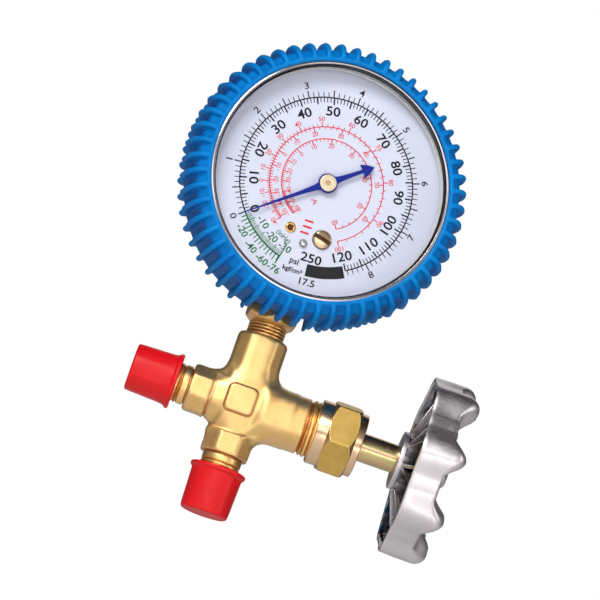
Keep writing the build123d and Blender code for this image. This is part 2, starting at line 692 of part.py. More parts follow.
with BuildPart() as sector_gear:
    with BuildSketch(G(7.2, *sector_pivot)):
        with BuildLine():
            to_pinion = atan2(-sector_pivot[1], -sector_pivot[0])
            pts = tooth_points(sector_pitch, 72, -8, 2, 11.1, 10.35, 0.10, 0.22)
            arm = [(6.0 * cos(radians(-6)), 6.0 * sin(radians(-6))), (1.9, 0.2), (1.4, 1.4)]
            Polyline(*[(x * cos(to_pinion) - y * sin(to_pinion), x * sin(to_pinion) + y * cos(to_pinion)) for x, y in pts],
                     close=True)
        make_face()
    extrude(amount=0.8)
    # arm, hub and tail
    with BuildSketch(G(7.2, *sector_pivot)):
        with BuildLine():
            Polyline(*[(r * cos(to_pinion + radians(d)), r * sin(to_pinion + radians(d)))
                       for r, d in ((0.8, -100), (10.4, -40), (10.4, -30), (10.4, -20), (10.4, -10), (10.4, 0), (10.4, 10), (0.8, 100))],
                     close=True)
        make_face()
        Circle(1.9)
        with BuildLine():
            tx, ty = tail_pin[0] - sector_pivot[0], tail_pin[1] - sector_pivot[1]
            Polyline((-ty * 0.18, tx * 0.18), (tx - ty * 0.16, ty + tx * 0.16), (tx + ty * 0.16, ty - tx * 0.16), (ty * 0.18, -tx * 0.18), close=True)
        make_face()
        with Locations((tx, ty)):
            Circle(1.0)
        Circle(0.65, mode=Mode.SUBTRACT)
        with Locations((tx, ty)):
            Circle(0.42, mode=Mode.SUBTRACT)
    extrude(amount=0.8)
    # lighten the arm
    with BuildSketch(G(7.2, *sector_pivot)):
        with BuildLine():
            Polyline(*[(r * cos(to_pinion + radians(d)), r * sin(to_pinion + radians(d)))
                       for r, d in ((3.4, -14), (9.0, -28), (9.0, -14), (9.0, -2))], close=True)
        make_face()
    extrude(amount=0.8, mode=Mode.SUBTRACT)
sector_gear.part.label = "sector_gear"
export_step(sector_gear.part, "parts/sector_gear.step")

with BuildPart() as sector_arbor:
    with BuildSketch(G(5.9, *sector_pivot)):
        Circle(0.6)
    extrude(amount=6.0)
sector_arbor.part.label = "sector_arbor"
export_step(sector_arbor.part, "parts/sector_arbor.step")

with BuildPart() as link_pin:
    with BuildSketch(G(6.9, *tail_pin)):
        Circle(0.38)
    extrude(amount=2.4)
link_pin.part.label = "link_pin"
export_step(link_pin.part, "parts/link_pin.step")

link_length = sqrt((tip_pin[0] - tail_pin[0]) ** 2 + (tip_pin[1] - tail_pin[1]) ** 2)
link_dir = atan2(tip_pin[1] - tail_pin[1], tip_pin[0] - tail_pin[0])
with BuildPart() as link:
    with BuildSketch(G(8.2, *tail_pin)):
        with Locations((link_length / 2 * cos(link_dir), link_length / 2 * sin(link_dir))):
            Rectangle(link_length, 1.3, rotation=link_dir * 180 / pi)
        Circle(1.0)
        with Locations((link_length * cos(link_dir), link_length * sin(link_dir))):
            Circle(1.3)
        Circle(0.42, mode=Mode.SUBTRACT)
        with Locations((link_length * cos(link_dir), link_length * sin(link_dir))):
            Circle(0.72, mode=Mode.SUBTRACT)
    extrude(amount=0.5)
link.part.label = "link"
export_step(link.part, "parts/link.step")

with BuildPart() as movement_plates:
    for h, t in ((5.85, 0.8), (10.2, 0.9)):
        with BuildSketch(G(h)):
            with Locations((2.0, -5.5 if h < 8 else -7.6)):
                RectangleRounded(19.0, 20.0 if h < 8 else 24.2, 3.0)
            with Locations((0, 0)):
                Circle(0.66, mode=Mode.SUBTRACT)
            with Locations(sector_pivot):
                Circle(0.66, mode=Mode.SUBTRACT)
            with Locations((4.4, 3.1), (-5.4, -11.3)):
                Circle(0.8, mode=Mode.SUBTRACT)
            with Locations((3.8, -15.2)):
                Circle(1.4 if h > 8 else 0.1, mode=Mode.SUBTRACT)
        extrude(amount=t)
    # foot that bolts to the socket block
    with BuildSketch(G(5.85)):
        with Locations((0, -18.5)):
            Rectangle(11.0, 7.0)
        with Locations((-3.4, -19.6), (3.4, -19.6)):
            Circle(0.85, mode=Mode.SUBTRACT)
    extrude(amount=0.8)
movement_plates.part.label = "movement_plates"
export_step(movement_plates.part, "parts/movement_plates.step")

with BuildPart() as movement_pillars:
    for x, y in ((4.4, 3.1), (-5.4, -11.3)):
        with BuildSketch(G(6.7, x, y)):
            Circle(1.2)
        extrude(amount=3.45)
        with BuildSketch(G(5.9, x, y)):
            Circle(0.75)
        extrude(amount=5.2)
        with BuildSketch(G(11.15, x, y)):
            Circle(1.4)
        extrude(amount=0.7)
        with BuildSketch(G(11.0, x, y)):
            Circle(0.75)
        extrude(amount=0.3)
movement_pillars.part.label = "movement_pillars"
export_step(movement_pillars.part, "parts/movement_pillars.step")

with BuildPart() as movement_screws:
    for x in (-3.4, 3.4):
        with BuildSketch(G(1.5, x, -19.6)):
            Circle(0.8)
        extrude(amount=5.6)
        with BuildSketch(G(6.7, x, -19.6)):
            Circle(1.45)
        extrude(amount=0.9)
movement_screws.part.label = "movement_screws"
export_step(movement_screws.part, "parts/movement_screws.step")

# flat spiral that takes up the play in the gears, held by a stud on the front plate
with BuildPart() as hairspring:
    with BuildSketch(G(9.1)):
        turns, r_in, r_out, half = 4.0, 1.35, 3.9, 0.06
        n = int(turns * 24)
        mid = [(r_in + (r_out - r_in) * i / n, 2 * pi * turns * i / n) for i in range(n + 1)]
        inner = [((r - half) * cos(a), (r - half) * sin(a)) for r, a in mid]
        outer = [((r + half) * cos(a), (r + half) * sin(a)) for r, a in reversed(mid)]
        with BuildLine():
            Polyline(*inner, *outer, close=True)
        make_face()
    extrude(amount=0.6)
    with BuildSketch(G(9.1, r_out + 0.3, 0)):
        Circle(0.4)
    extrude(amount=1.05)
hairspring.part.label = "hairspring"
export_step(hairspring.part, "parts/hairspring.step")

with BuildPart() as collet:
    with BuildSketch(G(8.8)):
        Circle(1.1)
        Circle(0.62, mode=Mode.SUBTRACT)
    extrude(amount=1.2)
collet.part.label = "spring_collet"
export_step(collet.part, "parts/spring_collet.step")

# --------------------------- Bourdon tube ------------------------------------
with BuildPart() as bourdon_tube:
    with BuildSketch(GR(tip_angle)):
        with Locations((tube_radius, 0.6)):
            SlotOverall(8.4, 2.4, rotation=90)
            SlotOverall(7.8, 1.8, rotation=90, mode=Mode.SUBTRACT)
    revolve(axis=gauge_axis, revolution_arc=tube_sweep)
bourdon_tube.part.label = "bourdon_tube"
export_step(bourdon_tube.part, "parts/bourdon_tube.step")

with BuildPart() as tube_tip:
    with BuildSketch(GR(tip_angle)):
        with Locations((tube_radius, 0.6)):
            SlotOverall(9.2, 3.2, rotation=90)
    revolve(axis=gauge_axis, revolution_arc=-7)
    with BuildSketch(G(4.4)):
        with BuildLine():
            Polyline(*[(r * cos(radians(a)), r * sin(radians(a))) for r, a in
                       ((19.4, -5.4), (22.6, -8.3), (26.0, -8.3), (26.0, -14.6), (19.4, -11.4))], close=True)
        make_face()
    extrude(amount=1.9)
    with BuildSketch(G(5.2, *tip_pin)):
        Circle(0.4)
    extrude(amount=4.2)
    with BuildSketch(G(8.95, *tip_pin)):
        Circle(1.0)
    extrude(amount=0.45)
tube_tip.part.label = "tube_tip"
export_step(tube_tip.part, "parts/tube_tip.step")
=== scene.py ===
import bpy
import math
import numpy as np
from mathutils import Matrix, Vector


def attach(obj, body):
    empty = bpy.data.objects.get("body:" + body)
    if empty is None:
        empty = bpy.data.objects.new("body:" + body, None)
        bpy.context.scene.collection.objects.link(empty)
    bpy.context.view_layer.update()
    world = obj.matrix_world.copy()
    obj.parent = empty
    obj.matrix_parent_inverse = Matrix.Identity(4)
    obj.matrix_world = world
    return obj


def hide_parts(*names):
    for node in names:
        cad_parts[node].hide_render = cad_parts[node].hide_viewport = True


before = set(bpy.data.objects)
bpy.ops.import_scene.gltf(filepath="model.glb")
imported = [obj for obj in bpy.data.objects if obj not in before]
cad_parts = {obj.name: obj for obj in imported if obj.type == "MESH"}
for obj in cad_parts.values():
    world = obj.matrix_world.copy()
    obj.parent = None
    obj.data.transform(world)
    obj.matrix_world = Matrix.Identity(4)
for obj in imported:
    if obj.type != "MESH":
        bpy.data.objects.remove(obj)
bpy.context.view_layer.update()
PSI = math.radians(7.3)
CP, SP = math.cos(PSI), math.sin(PSI)
GZ = 63.4


def lin(r, g, b):
    return tuple((c / 255 / 12.92) if c / 255 <= 0.04045 else ((c / 255 + 0.055) / 1.055) ** 2.4 for c in (r, g, b))


# ------------------------------------------------------------------ materials
def new_mat(name):
    m = bpy.data.materials.new(name)
    m.use_nodes = True
    nt = m.node_tree
    b = nt.nodes["Principled BSDF"]
    return m, nt, b


def node(nt, kind, **kw):
    n = nt.nodes.new(kind)
    for k, v in kw.items():
        if k in ("operation", "blend_type", "data_type", "attribute_name", "noise_dimensions", "interpolation", "clamp", "invert", "feature", "wave_type", "bands_direction", "attribute_type", "vector_type"):
            setattr(n, k, v)
        else:
            n.inputs[k.replace("_", " ")].default_value = v
    return n


def coords(nt, scale=(1, 1, 1)):
    tc = nt.nodes.new("ShaderNodeTexCoord")
    mp = nt.nodes.new("ShaderNodeMapping")
    mp.inputs["Scale"].default_value = scale
    nt.links.new(tc.outputs["Object"], mp.inputs["Vector"])
    return mp.outputs["Vector"]


def ramp(nt, src, stops, interp="LINEAR"):
    r = nt.nodes.new("ShaderNodeValToRGB")
    r.color_ramp.interpolation = interp
    e = r.color_ramp.elements
    while len(e) < len(stops):
        e.new(0.5)
    for el, (p, c) in zip(e, stops):
        el.position = p
        el.color = (*c, 1) if len(c) == 3 else c
    nt.links.new(src, r.inputs["Fac"])
    return r.outputs["Color"]


def noise(nt, vec, scale, detail=3.0, rough=0.5, distortion=0.0):
    n = nt.nodes.new("ShaderNodeTexNoise")
    n.inputs["Scale"].default_value = scale
    n.inputs["Detail"].default_value = detail
    n.inputs["Roughness"].default_value = rough
    n.inputs["Distortion"].default_value = distortion
    nt.links.new(vec, n.inputs["Vector"])
    return n.outputs["Fac"]


def mix(nt, fac, a, b, mode="MIX"):
    m = nt.nodes.new("ShaderNodeMix")
    m.data_type = "RGBA"
    m.blend_type = mode
    if isinstance(fac, (int, float)):
        m.inputs["Factor"].default_value = fac
    else:
        nt.links.new(fac, m.inputs["Factor"])
    for key, v in ((6, a), (7, b)):
        if isinstance(v, tuple):
            m.inputs[key].default_value = (*v, 1)
        else:
            nt.links.new(v, m.inputs[key])
    return m.outputs[2]


def mapr(nt, src, a, b, c, d):
    m = nt.nodes.new("ShaderNodeMapRange")
    for k, v in (("From Min", a), ("From Max", b), ("To Min", c), ("To Max", d)):
        m.inputs[k].default_value = v
    nt.links.new(src, m.inputs["Value"])
    return m.outputs["Result"]


def attr(nt, name):
    a = nt.nodes.new("ShaderNodeAttribute")
    a.attribute_name = name
    return a.outputs["Fac"]


def bump(nt, b, src, strength, dist):
    n = nt.nodes.new("ShaderNodeBump")
    n.inputs["Strength"].default_value = strength
    n.inputs["Distance"].default_value = dist
    nt.links.new(src, n.inputs["Height"])
    nt.links.new(n.outputs["Normal"], b.inputs["Normal"])
    return n


def metal(name, base, dark, rough=(0.3, 0.42), grain=1800.0, stretch=(1, 1, 1), bump_s=0.15, edge=None, spots=None, big=90.0, coat=0.0):
    m, nt, b = new_mat(name)
    v = coords(nt, stretch)
    v1 = coords(nt)
    n_big = noise(nt, v1, big, 4.0, 0.6)
    n_fine = noise(nt, v, grain, 4.0, 0.6)
    col = mix(nt, mapr(nt, n_big, 0.35, 0.7, 0.0, 1.0), base, dark)
    # the crease_shade mark turns the colour darker and redder: painted shade in creases, thread roots and grooves,
    # partly a reddish tint on the forging's edges
    if edge is not None:
        col = mix(nt, mapr(nt, attr(nt, "crease_shade"), 0.05, 0.6, 0.0, 0.85), col, edge)
    if spots is not None:
        s = ramp(nt, noise(nt, v1, 420.0, 2.0), [(0.73, (0, 0, 0)), (0.80, (1, 1, 1))])
        col = mix(nt, s, col, spots)
    nt.links.new(col, b.inputs["Base Color"])
    b.inputs["Metallic"].default_value = 1.0
    b.inputs["Coat Weight"].default_value = coat
    b.inputs["Coat IOR"].default_value = 1.75
    b.inputs["Coat Roughness"].default_value = 0.42
    nt.links.new(mapr(nt, n_fine, 0.3, 0.7, rough[0], rough[1]), b.inputs["Roughness"])
    bump(nt, b, n_fine, bump_s * 0.5, 0.00008)
    return m


def plastic(name, base, dark, rough=(0.35, 0.5), grain=900.0, bump_s=0.1, spec=0.45, coat=0.0, sss=0.0, big=60.0, stretch=(1, 1, 1), edge=None):
    m, nt, b = new_mat(name)
    v = coords(nt)
    n_big = noise(nt, v, big, 3.0)
    n_fine = noise(nt, coords(nt, stretch), grain, 3.0)
    col = mix(nt, mapr(nt, n_big, 0.35, 0.7, 0.0, 1.0), base, dark)
    # the crease_shade mark turns the colour darker: painted shade, in the boot's valleys between the ribs
    if edge is not None:
        col = mix(nt, mapr(nt, attr(nt, "crease_shade"), 0.1, 1.0, 0.0, 1.0), col, edge)
    nt.links.new(col, b.inputs["Base Color"])
    nt.links.new(mapr(nt, n_fine, 0.3, 0.7, rough[0], rough[1]), b.inputs["Roughness"])
    b.inputs["Specular IOR Level"].default_value = spec
    b.inputs["Coat Weight"].default_value = coat
    b.inputs["Coat Roughness"].default_value = 0.15
    if sss:
        b.inputs["Subsurface Weight"].default_value = sss
        b.inputs["Subsurface Radius"].default_value = (0.002, 0.0004, 0.0004)
        b.inputs["Subsurface Scale"].default_value = 0.5
    bump(nt, b, n_fine, bump_s, 0.00012)
    return m


M = {}
# forging: the edge colour is painted shade in the creases and along the step and groove lines, partly a reddish tint on
# the convex edges
M["forged"] = metal("forged_brass_satin", (0.82, 0.52, 0.165), (0.72, 0.42, 0.11), (0.36, 0.50), 1500, (1, 1, 1), 0.60, edge=(0.42, 0.13, 0.018), big=160.0, coat=1.0)
# thread: the edge colour is painted shade in the thread roots
M["thread"] = metal("cut_thread_brass", (0.90, 0.60, 0.24), (0.84, 0.52, 0.18), (0.30, 0.42), 2500, (1, 1, 1), 0.05, edge=(0.55, 0.20, 0.03))
M["flats"] = metal("milled_brass_flats", (0.66, 0.435, 0.125), (0.58, 0.37, 0.09), (0.36, 0.50), 2200, (1, 1, 1), 0.5, big=300.0)
M["collar"] = metal("turned_brass_collar", (0.78, 0.54, 0.33), (0.70, 0.46, 0.26), (0.18, 0.28), 2600, (6, 1, 1), 0.08)
M["turned"] = metal("turned_brass", (0.88, 0.68, 0.36), (0.80, 0.58, 0.28), (0.18, 0.3), 2600, (1, 1, 6), 0.08)
M["bright"] = metal("bright_plated_steel", (0.72, 0.71, 0.69), (0.60, 0.59, 0.58), (0.16, 0.28), 2400, (1, 1, 1), 0.08)
M["chrome"] = metal("polished_ring", (0.44, 0.42, 0.44), (0.38, 0.36, 0.38), (0.12, 0.20), 2400, (1, 1, 1), 0.03)
M["bronze"] = metal("drawn_bronze", (0.78, 0.52, 0.28), (0.66, 0.40, 0.20), (0.22, 0.34), 2400, (1, 1, 1), 0.08)
M["wheel"] = metal("satin_cast_wheel", (0.70, 0.65, 0.665), (0.62, 0.575, 0.585), (0.32, 0.44), 2000, (0.25, 1, 1), 0.12, big=110.0)
# the inside of the wheel is a dark copy of its metal: painted shade inside the skirt and in the bores, with a polished
# finish
M["wheel_in"] = metal("wheel_inside_polished_painted_shade", (0.26, 0.25, 0.27), (0.13, 0.125, 0.14), (0.10, 0.22), 1500, (1, 1, 1), 0.10, big=160.0)
M["web"] = metal("wheel_web_edges", (0.60, 0.57, 0.57), (0.42, 0.39, 0.40), (0.14, 0.26), 1500, (1, 1, 1), 0.10, big=160.0)
# the edge colour is painted shade between the ribs
M["rubber"] = plastic("blue_moulded_rubber", lin(0, 120, 194), lin(0, 108, 182), (0.36, 0.52), 1100, 0.22, 0.10, edge=lin(0, 72, 148), big=140.0)
M["vinyl"] = plastic("red_soft_vinyl", lin(212, 14, 20), lin(198, 8, 16), (0.34, 0.46), 700, 0.10, 0.28)
M["black_rubber"] = plastic("black_rubber", (0.022, 0.022, 0.024), (0.03, 0.03, 0.032), (0.5, 0.65), 900, 0.15, 0.4)
M["case"] = plastic("black_enamel", (0.020, 0.020, 0.022), (0.028, 0.028, 0.03), (0.22, 0.34), 1400, 0.12, 0.5, coat=0.3)
M["ptfe"] = plastic("white_packing", (0.80, 0.80, 0.77), (0.74, 0.74, 0.70), (0.4, 0.55), 1400, 0.12, 0.45)
M["dial"] = plastic("dial_ground", lin(212, 214, 230), lin(208, 211, 228), (0.5, 0.6), 2600, 0.04, 0.12, big=30.0)
M["blue"] = plastic("pointer_enamel", lin(26, 40, 142), lin(20, 32, 128), (0.32, 0.42), 1500, 0.05, 0.15)
M["ink_black"] = plastic("ink_black", (0.016, 0.014, 0.016), (0.022, 0.02, 0.022), (0.45, 0.55), 2600, 0.02, 0.03)
M["ink_green"] = plastic("ink_green", lin(4, 104, 34), lin(8, 110, 42), (0.45, 0.55), 2600, 0.02, 0.03)
M["ink_red"] = plastic("ink_red", lin(222, 16, 26), lin(214, 24, 32), (0.45, 0.55), 2600, 0.02, 0.03)


def zinc():
    m, nt, b = new_mat("yellow_zinc")
    v = coords(nt, (0.06, 1, 1))
    n1 = noise(nt, v, 210, 3.0, 0.6, 0.8)
    col = ramp(nt, n1, [(0.28, (0.46, 0.44, 0.20)), (0.42, (0.66, 0.52, 0.24)), (0.52, (0.58, 0.36, 0.24)), (0.62, (0.52, 0.48, 0.20)), (0.75, (0.72, 0.60, 0.34))])
    nt.links.new(col, b.inputs["Base Color"])
    b.inputs["Metallic"].default_value = 1.0
    n2 = noise(nt, coords(nt), 900, 2.0)
    nt.links.new(mapr(nt, n2, 0.3, 0.7, 0.20, 0.28), b.inputs["Roughness"])
    bump(nt, b, n2, 0.03, 0.00008)
    return m


M["zinc"] = zinc()


def glass():
    m = bpy.data.materials.new("clear_window")
    m.use_nodes = True
    nt = m.node_tree
    nt.nodes.clear()
    out = nt.nodes.new("ShaderNodeOutputMaterial")
    tr = nt.nodes.new("ShaderNodeBsdfTransparent")
    tr.inputs["Color"].default_value = (0.985, 0.988, 0.99, 1)
    gl = nt.nodes.new("ShaderNodeBsdfGlossy")
    gl.inputs["Roughness"].default_value = 0.03
    fr = nt.nodes.new("ShaderNodeFresnel")
    fr.inputs["IOR"].default_value = 1.16
    mx = nt.nodes.new("ShaderNodeMixShader")
    nt.links.new(fr.outputs[0], mx.inputs[0])
    nt.links.new(tr.outputs[0], mx.inputs[1])
    nt.links.new(gl.outputs[0], mx.inputs[2])
    nt.links.new(mx.outputs[0], out.inputs["Surface"])
    return m


M["glass"] = glass()

# ------------------------------------------------------------------ mesh tools
COL = bpy.context.scene.collection


def mk(name, V, F, mat, body, replaces=(), sharp=None, attrs=None, mats=None, fmat=None, rides=True):
    V = np.asarray(V, float) * 0.001
    me = bpy.data.meshes.new(name)
    me.from_pydata(V.tolist(), [], [tuple(int(i) for i in f) for f in F])
    me.update()
    me.polygons.foreach_set("use_smooth", [True] * len(me.polygons))
    for mm in (mats or [mat]):
        me.materials.append(mm)
    if fmat is not None:
        me.polygons.foreach_set("material_index", list(map(int, fmat)))
    if sharp is not None:
        me.set_sharp_from_angle(angle=math.radians(sharp))
    if attrs:
        for k, a in attrs.items():
            at = me.attributes.new(k, "FLOAT", "POINT")
            at.data.foreach_set("value", np.asarray(a, np.float32))
    o = bpy.data.objects.new(name, me)
    COL.objects.link(o)
    if rides:
        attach(o, body)
        if replaces:
            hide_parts(*replaces)
    return o


def dialP(x, y, h):
    """Dial frame (x right, y up, h in front of the stem axis) to the object frame, mm."""
    x, y, h = np.broadcast_arrays(np.asarray(x, float), np.asarray(y, float), np.asarray(h, float))
    return np.stack([x * CP + h * SP, x * SP - h * CP, GZ + y], -1)


def place_x(a, r, t):
    """Valve axis: a along +X, t from +Z towards -Y."""
    return np.stack([a, -r * np.sin(t), r * np.cos(t)], -1)


def place_z(a, r, t):
    return np.stack([r * np.cos(t), r * np.sin(t), a], -1)


def place_g(a, r, t):
    """Gauge axis: a is h, t the math angle in the dial's plane."""
    return dialP(r * np.cos(t), r * np.sin(t), a)


def rev(profile, n, place, rfun=None, closed=False):
    """Surface of revolution of (a, r) points. Points with r 0 at the ends become poles. Returns vertices, faces and the rows."""
    prof = np.asarray(profile, float)
    th = np.linspace(0, 2 * math.pi, n, endpoint=False)
    V, F, rows = [], [], []
    for a, r in prof:
        if r < 1e-6:
            rows.append([len(V)])
            V.append(place(np.array(a), np.array(0.0), np.array(0.0)))
        else:
            rr = np.full(n, r) if rfun is None else rfun(np.full(n, a), th, np.full(n, r))
            p = place(np.full(n, a), rr, th)
            rows.append(list(range(len(V), len(V) + n)))
            V.extend(p)
    m = len(rows)
    for i in range(m if closed else m - 1):
        A, B = rows[i], rows[(i + 1) % m]
        if len(A) == 1 and len(B) == 1:
            continue
        for j in range(n):
            k = (j + 1) % n
            if len(A) == 1:
                F.append((A[0], B[j], B[k]))
            elif len(B) == 1:
                F.append((A[j], B[0], A[k]))
            else:
                F.append((A[j], B[j], B[k], A[k]))
    return np.array(V), F, rows


def outward(V, F):
    """Turns the faces so that the closed mesh's volume is positive."""
    V = np.asarray(V)
    vol = 0.0
    for f in F:
        a = V[f[0]]
        for i in range(1, len(f) - 1):
            vol += float(np.dot(a, np.cross(V[f[i]], V[f[i + 1]])))
    return [tuple(reversed(f)) for f in F] if vol < 0 else F


def prism(poly, place3, h0, h1):
    """Closed prism of a plan polygon (k, 2) between heights h0 and h1."""
    poly = np.asarray(poly, float)
    k = len(poly)
    V = np.concatenate([place3(poly[:, 0], poly[:, 1], np.full(k, h0)), place3(poly[:, 0], poly[:, 1], np.full(k, h1))])
    F = [tuple(range(k)), tuple(range(2 * k - 1, k - 1, -1))] + [(i, k + i, k + (i + 1) % k, (i + 1) % k) for i in range(k)]
    return V, F


def join(parts):
    V, F, n = [], [], 0
    for v, f in parts:
        V.append(np.asarray(v))
        F += [tuple(i + n for i in x) for x in f]
        n += len(v)
    return np.concatenate(V), F


def arc(p, q, c, n):
    """n points of a circular arc from p to q around c, the short way."""
    a0, a1 = math.atan2(p[1] - c[1], p[0] - c[0]), math.atan2(q[1] - c[1], q[0] - c[0])
    d = (a1 - a0 + math.pi) % (2 * math.pi) - math.pi
    r0, r1 = math.hypot(p[0] - c[0], p[1] - c[1]), math.hypot(q[0] - c[0], q[1] - c[1])
    return [(c[0] + (r0 + (r1 - r0) * t) * math.cos(a0 + d * t), c[1] + (r0 + (r1 - r0) * t) * math.sin(a0 + d * t)) for t in np.linspace(0, 1, n)]


def rounded(pts, rads, n=5, closed=False):
    """Polyline with its corners rounded."""
    pts = [np.array(p, float) for p in pts]
    out = []
    m = len(pts)
    for i, p in enumerate(pts):
        r = rads[i] if not isinstance(rads, (int, float)) else rads
        if (not closed and i in (0, m - 1)) or r <= 0:
            out.append(tuple(p))
            continue
        a, b = pts[i - 1] - p, pts[(i + 1) % m] - p
        la, lb = np.linalg.norm(a), np.linalg.norm(b)
        a, b = a / la, b / lb
        ang = math.acos(max(-1, min(1, float(a @ b))))
        d = min(r / math.tan(ang / 2), 0.48 * la, 0.48 * lb)
        s, e = p + a * d, p + b * d
        for t in np.linspace(0, 1, n):
            out.append(tuple((1 - t) ** 2 * s + 2 * t * (1 - t) * p + t * t * e))
    return out


def dense(pts, step):
    """Splits long segments so that a wavy or threaded surface has enough points."""
    out = [pts[0]]
    for p, q in zip(pts[:-1], pts[1:]):
        k = max(1, int(math.ceil(math.hypot(q[0] - p[0], q[1] - p[1]) / step)))
        out += [(p[0] + (q[0] - p[0]) * t / k, p[1] + (q[1] - p[1]) * t / k) for t in range(1, k + 1)]
    return out


# ------------------------------------------------------------------ forged body by distance field
def smin(a, b, k):
    h = np.maximum(k - np.abs(a - b), 0) / k
    return np.minimum(a, b) - h * h * k / 4


def smax(a, b, k):
    return -smin(-a, -b, k)


def octa(u, v, ap, k):
    s = 0.70710678
    d = smax(np.abs(u), np.abs(v), k)
    return smax(d, (np.abs(u) + np.abs(v)) * s, k) - ap


def body_field(X, Y, Z):
    bossL = smax(octa(Y, Z, 6.45, 0.28), np.abs(X + 12.25) - 3.0, 0.6)
    bossL = smax(bossL, (-(X + 15.3) + (np.sqrt(Y * Y + Z * Z) - 6.25)) * 0.7071, 0.3)
    neckL = smax(octa(Y, Z, 6.3, 0.9) - 0.0, np.abs(X + 4.0) - 4.3, 0.5)
    waist = smax(octa(Y, Z, 5.9, 0.9), np.abs(X + 8.0) - 4.0, 0.4)
    L = smin(smin(bossL, waist, 0.5), neckL, 0.5)
    bossB = smax(octa(X, Y, 6.65, 0.28), np.abs(Z + 12.25) - 3.05, 0.5)
    bossB = smax(bossB, (-(Z + 15.3) + (np.sqrt(X * X + Y * Y) - 6.45)) * 0.7071, 0.3)
    neckB = smax(np.sqrt(X * X + Y * Y) - 5.95, np.abs(Z + 5.5) - 8.0, 0.6)
    B = smin(bossB, neckB, 0.7)
    T = smax(octa(X, Y, 7.1, 1.1), np.abs(Z - 9.85) - 9.85, 0.4)
    T = smax(T, ((Z - 19.7) + (np.sqrt(X * X + Y * Y) - 6.5)) * 0.7071, 0.6)
    rr = np.sqrt(Y * Y + Z * Z)
    R = smax(rr - 7.85, np.abs(X - 11.7) - 6.6, 0.5)
    R0 = smax(rr - 6.75, np.abs(X - 5.0) - 8.0, 0.6)
    R = smin(R, R0, 2.6)
    core = np.sqrt((X * 0.9) ** 2 + Y * Y * 1.15 + (Z * 0.92) ** 2) - 6.7
    d = smin(smin(L, R, 3.4), smin(T, B, 3.4), 4.6)
    d = smin(d, core, 2.0)
    # the blends stay below the pads, and rise to the right arm's own radius
    rise = np.clip((X - 4.0) / 3.0, 0, 1)
    d = smax(d, np.abs(Y) - 6.95 - 0.95 * rise * rise * (3 - 2 * rise), 1.4)
    # pads on the front and the back, struck proud of the forging
    px, pz = np.abs(X + 0.65) - 3.95 + 1.5, np.abs(Z - 0.2) - 3.8 + 1.5
    pad2 = np.sqrt(np.maximum(px, 0) ** 2 + np.maximum(pz, 0) ** 2) + np.minimum(np.maximum(px, pz), 0) - 1.5
    pad = smax(pad2 + (np.abs(Y) - 7.9) * 0.20, np.abs(Y) - 7.95, 0.55)
    d = smin(d, pad, 0.12)
    # bores
    d = smax(d, -(np.sqrt(Y * Y + Z * Z) - 4.3 + np.maximum(-4.5 - X, 0) * 10), 0.05)
    d = smax(d, -(np.sqrt(Y * Y + Z * Z) - 5.06 + np.maximum(7.5 - X, 0) * 10), 0.05)
    return d


def nets(f, lo, hi, d):
    xs = [np.arange(l, h + d, d) for l, h in zip(lo, hi)]
    X, Y, Z = np.meshgrid(*xs, indexing="ij")
    g = f(X, Y, Z)
    s = g < 0
    nx, ny, nz = s.shape
    c = [s[i:nx - 1 + i, j:ny - 1 + j, k:nz - 1 + k] for i in (0, 1) for j in (0, 1) for k in (0, 1)]
    tot = sum(x.astype(np.int8) for x in c)
    cells = np.argwhere((tot > 0) & (tot < 8))
    idx = -np.ones((nx - 1, ny - 1, nz - 1), np.int64)
    idx[tuple(cells.T)] = np.arange(len(cells))
    acc = np.zeros((len(cells), 3))
    cnt = np.zeros(len(cells))
    off = np.array([(i, j, k) for i in (0, 1) for j in (0, 1) for k in (0, 1)])
    vals = np.stack([g[tuple((cells + o).T)] for o in off], 1)
    for a in range(8):
        for b in range(a + 1, 8):
            if np.abs(off[a] - off[b]).sum() != 1:
                continue
            va, vb = vals[:, a], vals[:, b]
            m = (va < 0) != (vb < 0)
            t = va[m] / (va[m] - vb[m])
            acc[m] += off[a] + (off[b] - off[a]) * t[:, None]
            cnt[m] += 1
    V = (cells + acc / cnt[:, None]) * d + np.array(lo)
    F = []
    for ax in range(3):
        o = [0, 0, 0]
        o[ax] = 1
        a = s[:nx - o[0], :ny - o[1], :nz - o[2]]
        b = s[o[0]:, o[1]:, o[2]:]
        e = np.argwhere(a != b)
        u, w = (ax + 1) % 3, (ax + 2) % 3
        e = e[(e[:, u] > 0) & (e[:, w] > 0) & (e[:, u] < s.shape[u] - 1) & (e[:, w] < s.shape[w] - 1)]
        flip = a[tuple(e.T)]
        q = []
        for du, dw in ((-1, -1), (0, -1), (0, 0), (-1, 0)):
            k = e.copy()
            k[:, u] += du
            k[:, w] += dw
            q.append(idx[tuple(k.T)])
        q = np.stack(q, 1)
        q[~flip] = q[~flip][:, ::-1]
        F.append(q)
    F = np.concatenate(F)
    return V, F[(F >= 0).all(1)]


def project(f, V, it=3):
    e = 0.02
    for _ in range(it):
        v = f(V[:, 0], V[:, 1], V[:, 2])
        g = np.stack([f(*(V + np.eye(3)[i] * e).T) - f(*(V - np.eye(3)[i] * e).T) for i in range(3)], 1) / (2 * e)
        gn = (g * g).sum(1)
        V = V - np.clip(v / np.maximum(gn, 0.5), -0.05, 0.05)[:, None] * g
    return V, g


def crease_of(V, F, it=2):
    """Concave and convex edges as one number a vertex, from the spread of face normals."""
    V = np.asarray(V)
    Q = np.asarray(F)
    n = np.cross(V[Q[:, 2]] - V[Q[:, 0]], V[Q[:, 3]] - V[Q[:, 1]])
    n /= np.maximum(np.linalg.norm(n, axis=1), 1e-12)[:, None]
    s = np.zeros((len(V), 3))
    c = np.zeros(len(V))
    for i in range(4):
        np.add.at(s, Q[:, i], n)
        np.add.at(c, Q[:, i], 1)
    m = 1 - np.linalg.norm(s / np.maximum(c, 1)[:, None], axis=1)
    return np.clip(m * 12, 0, 1)


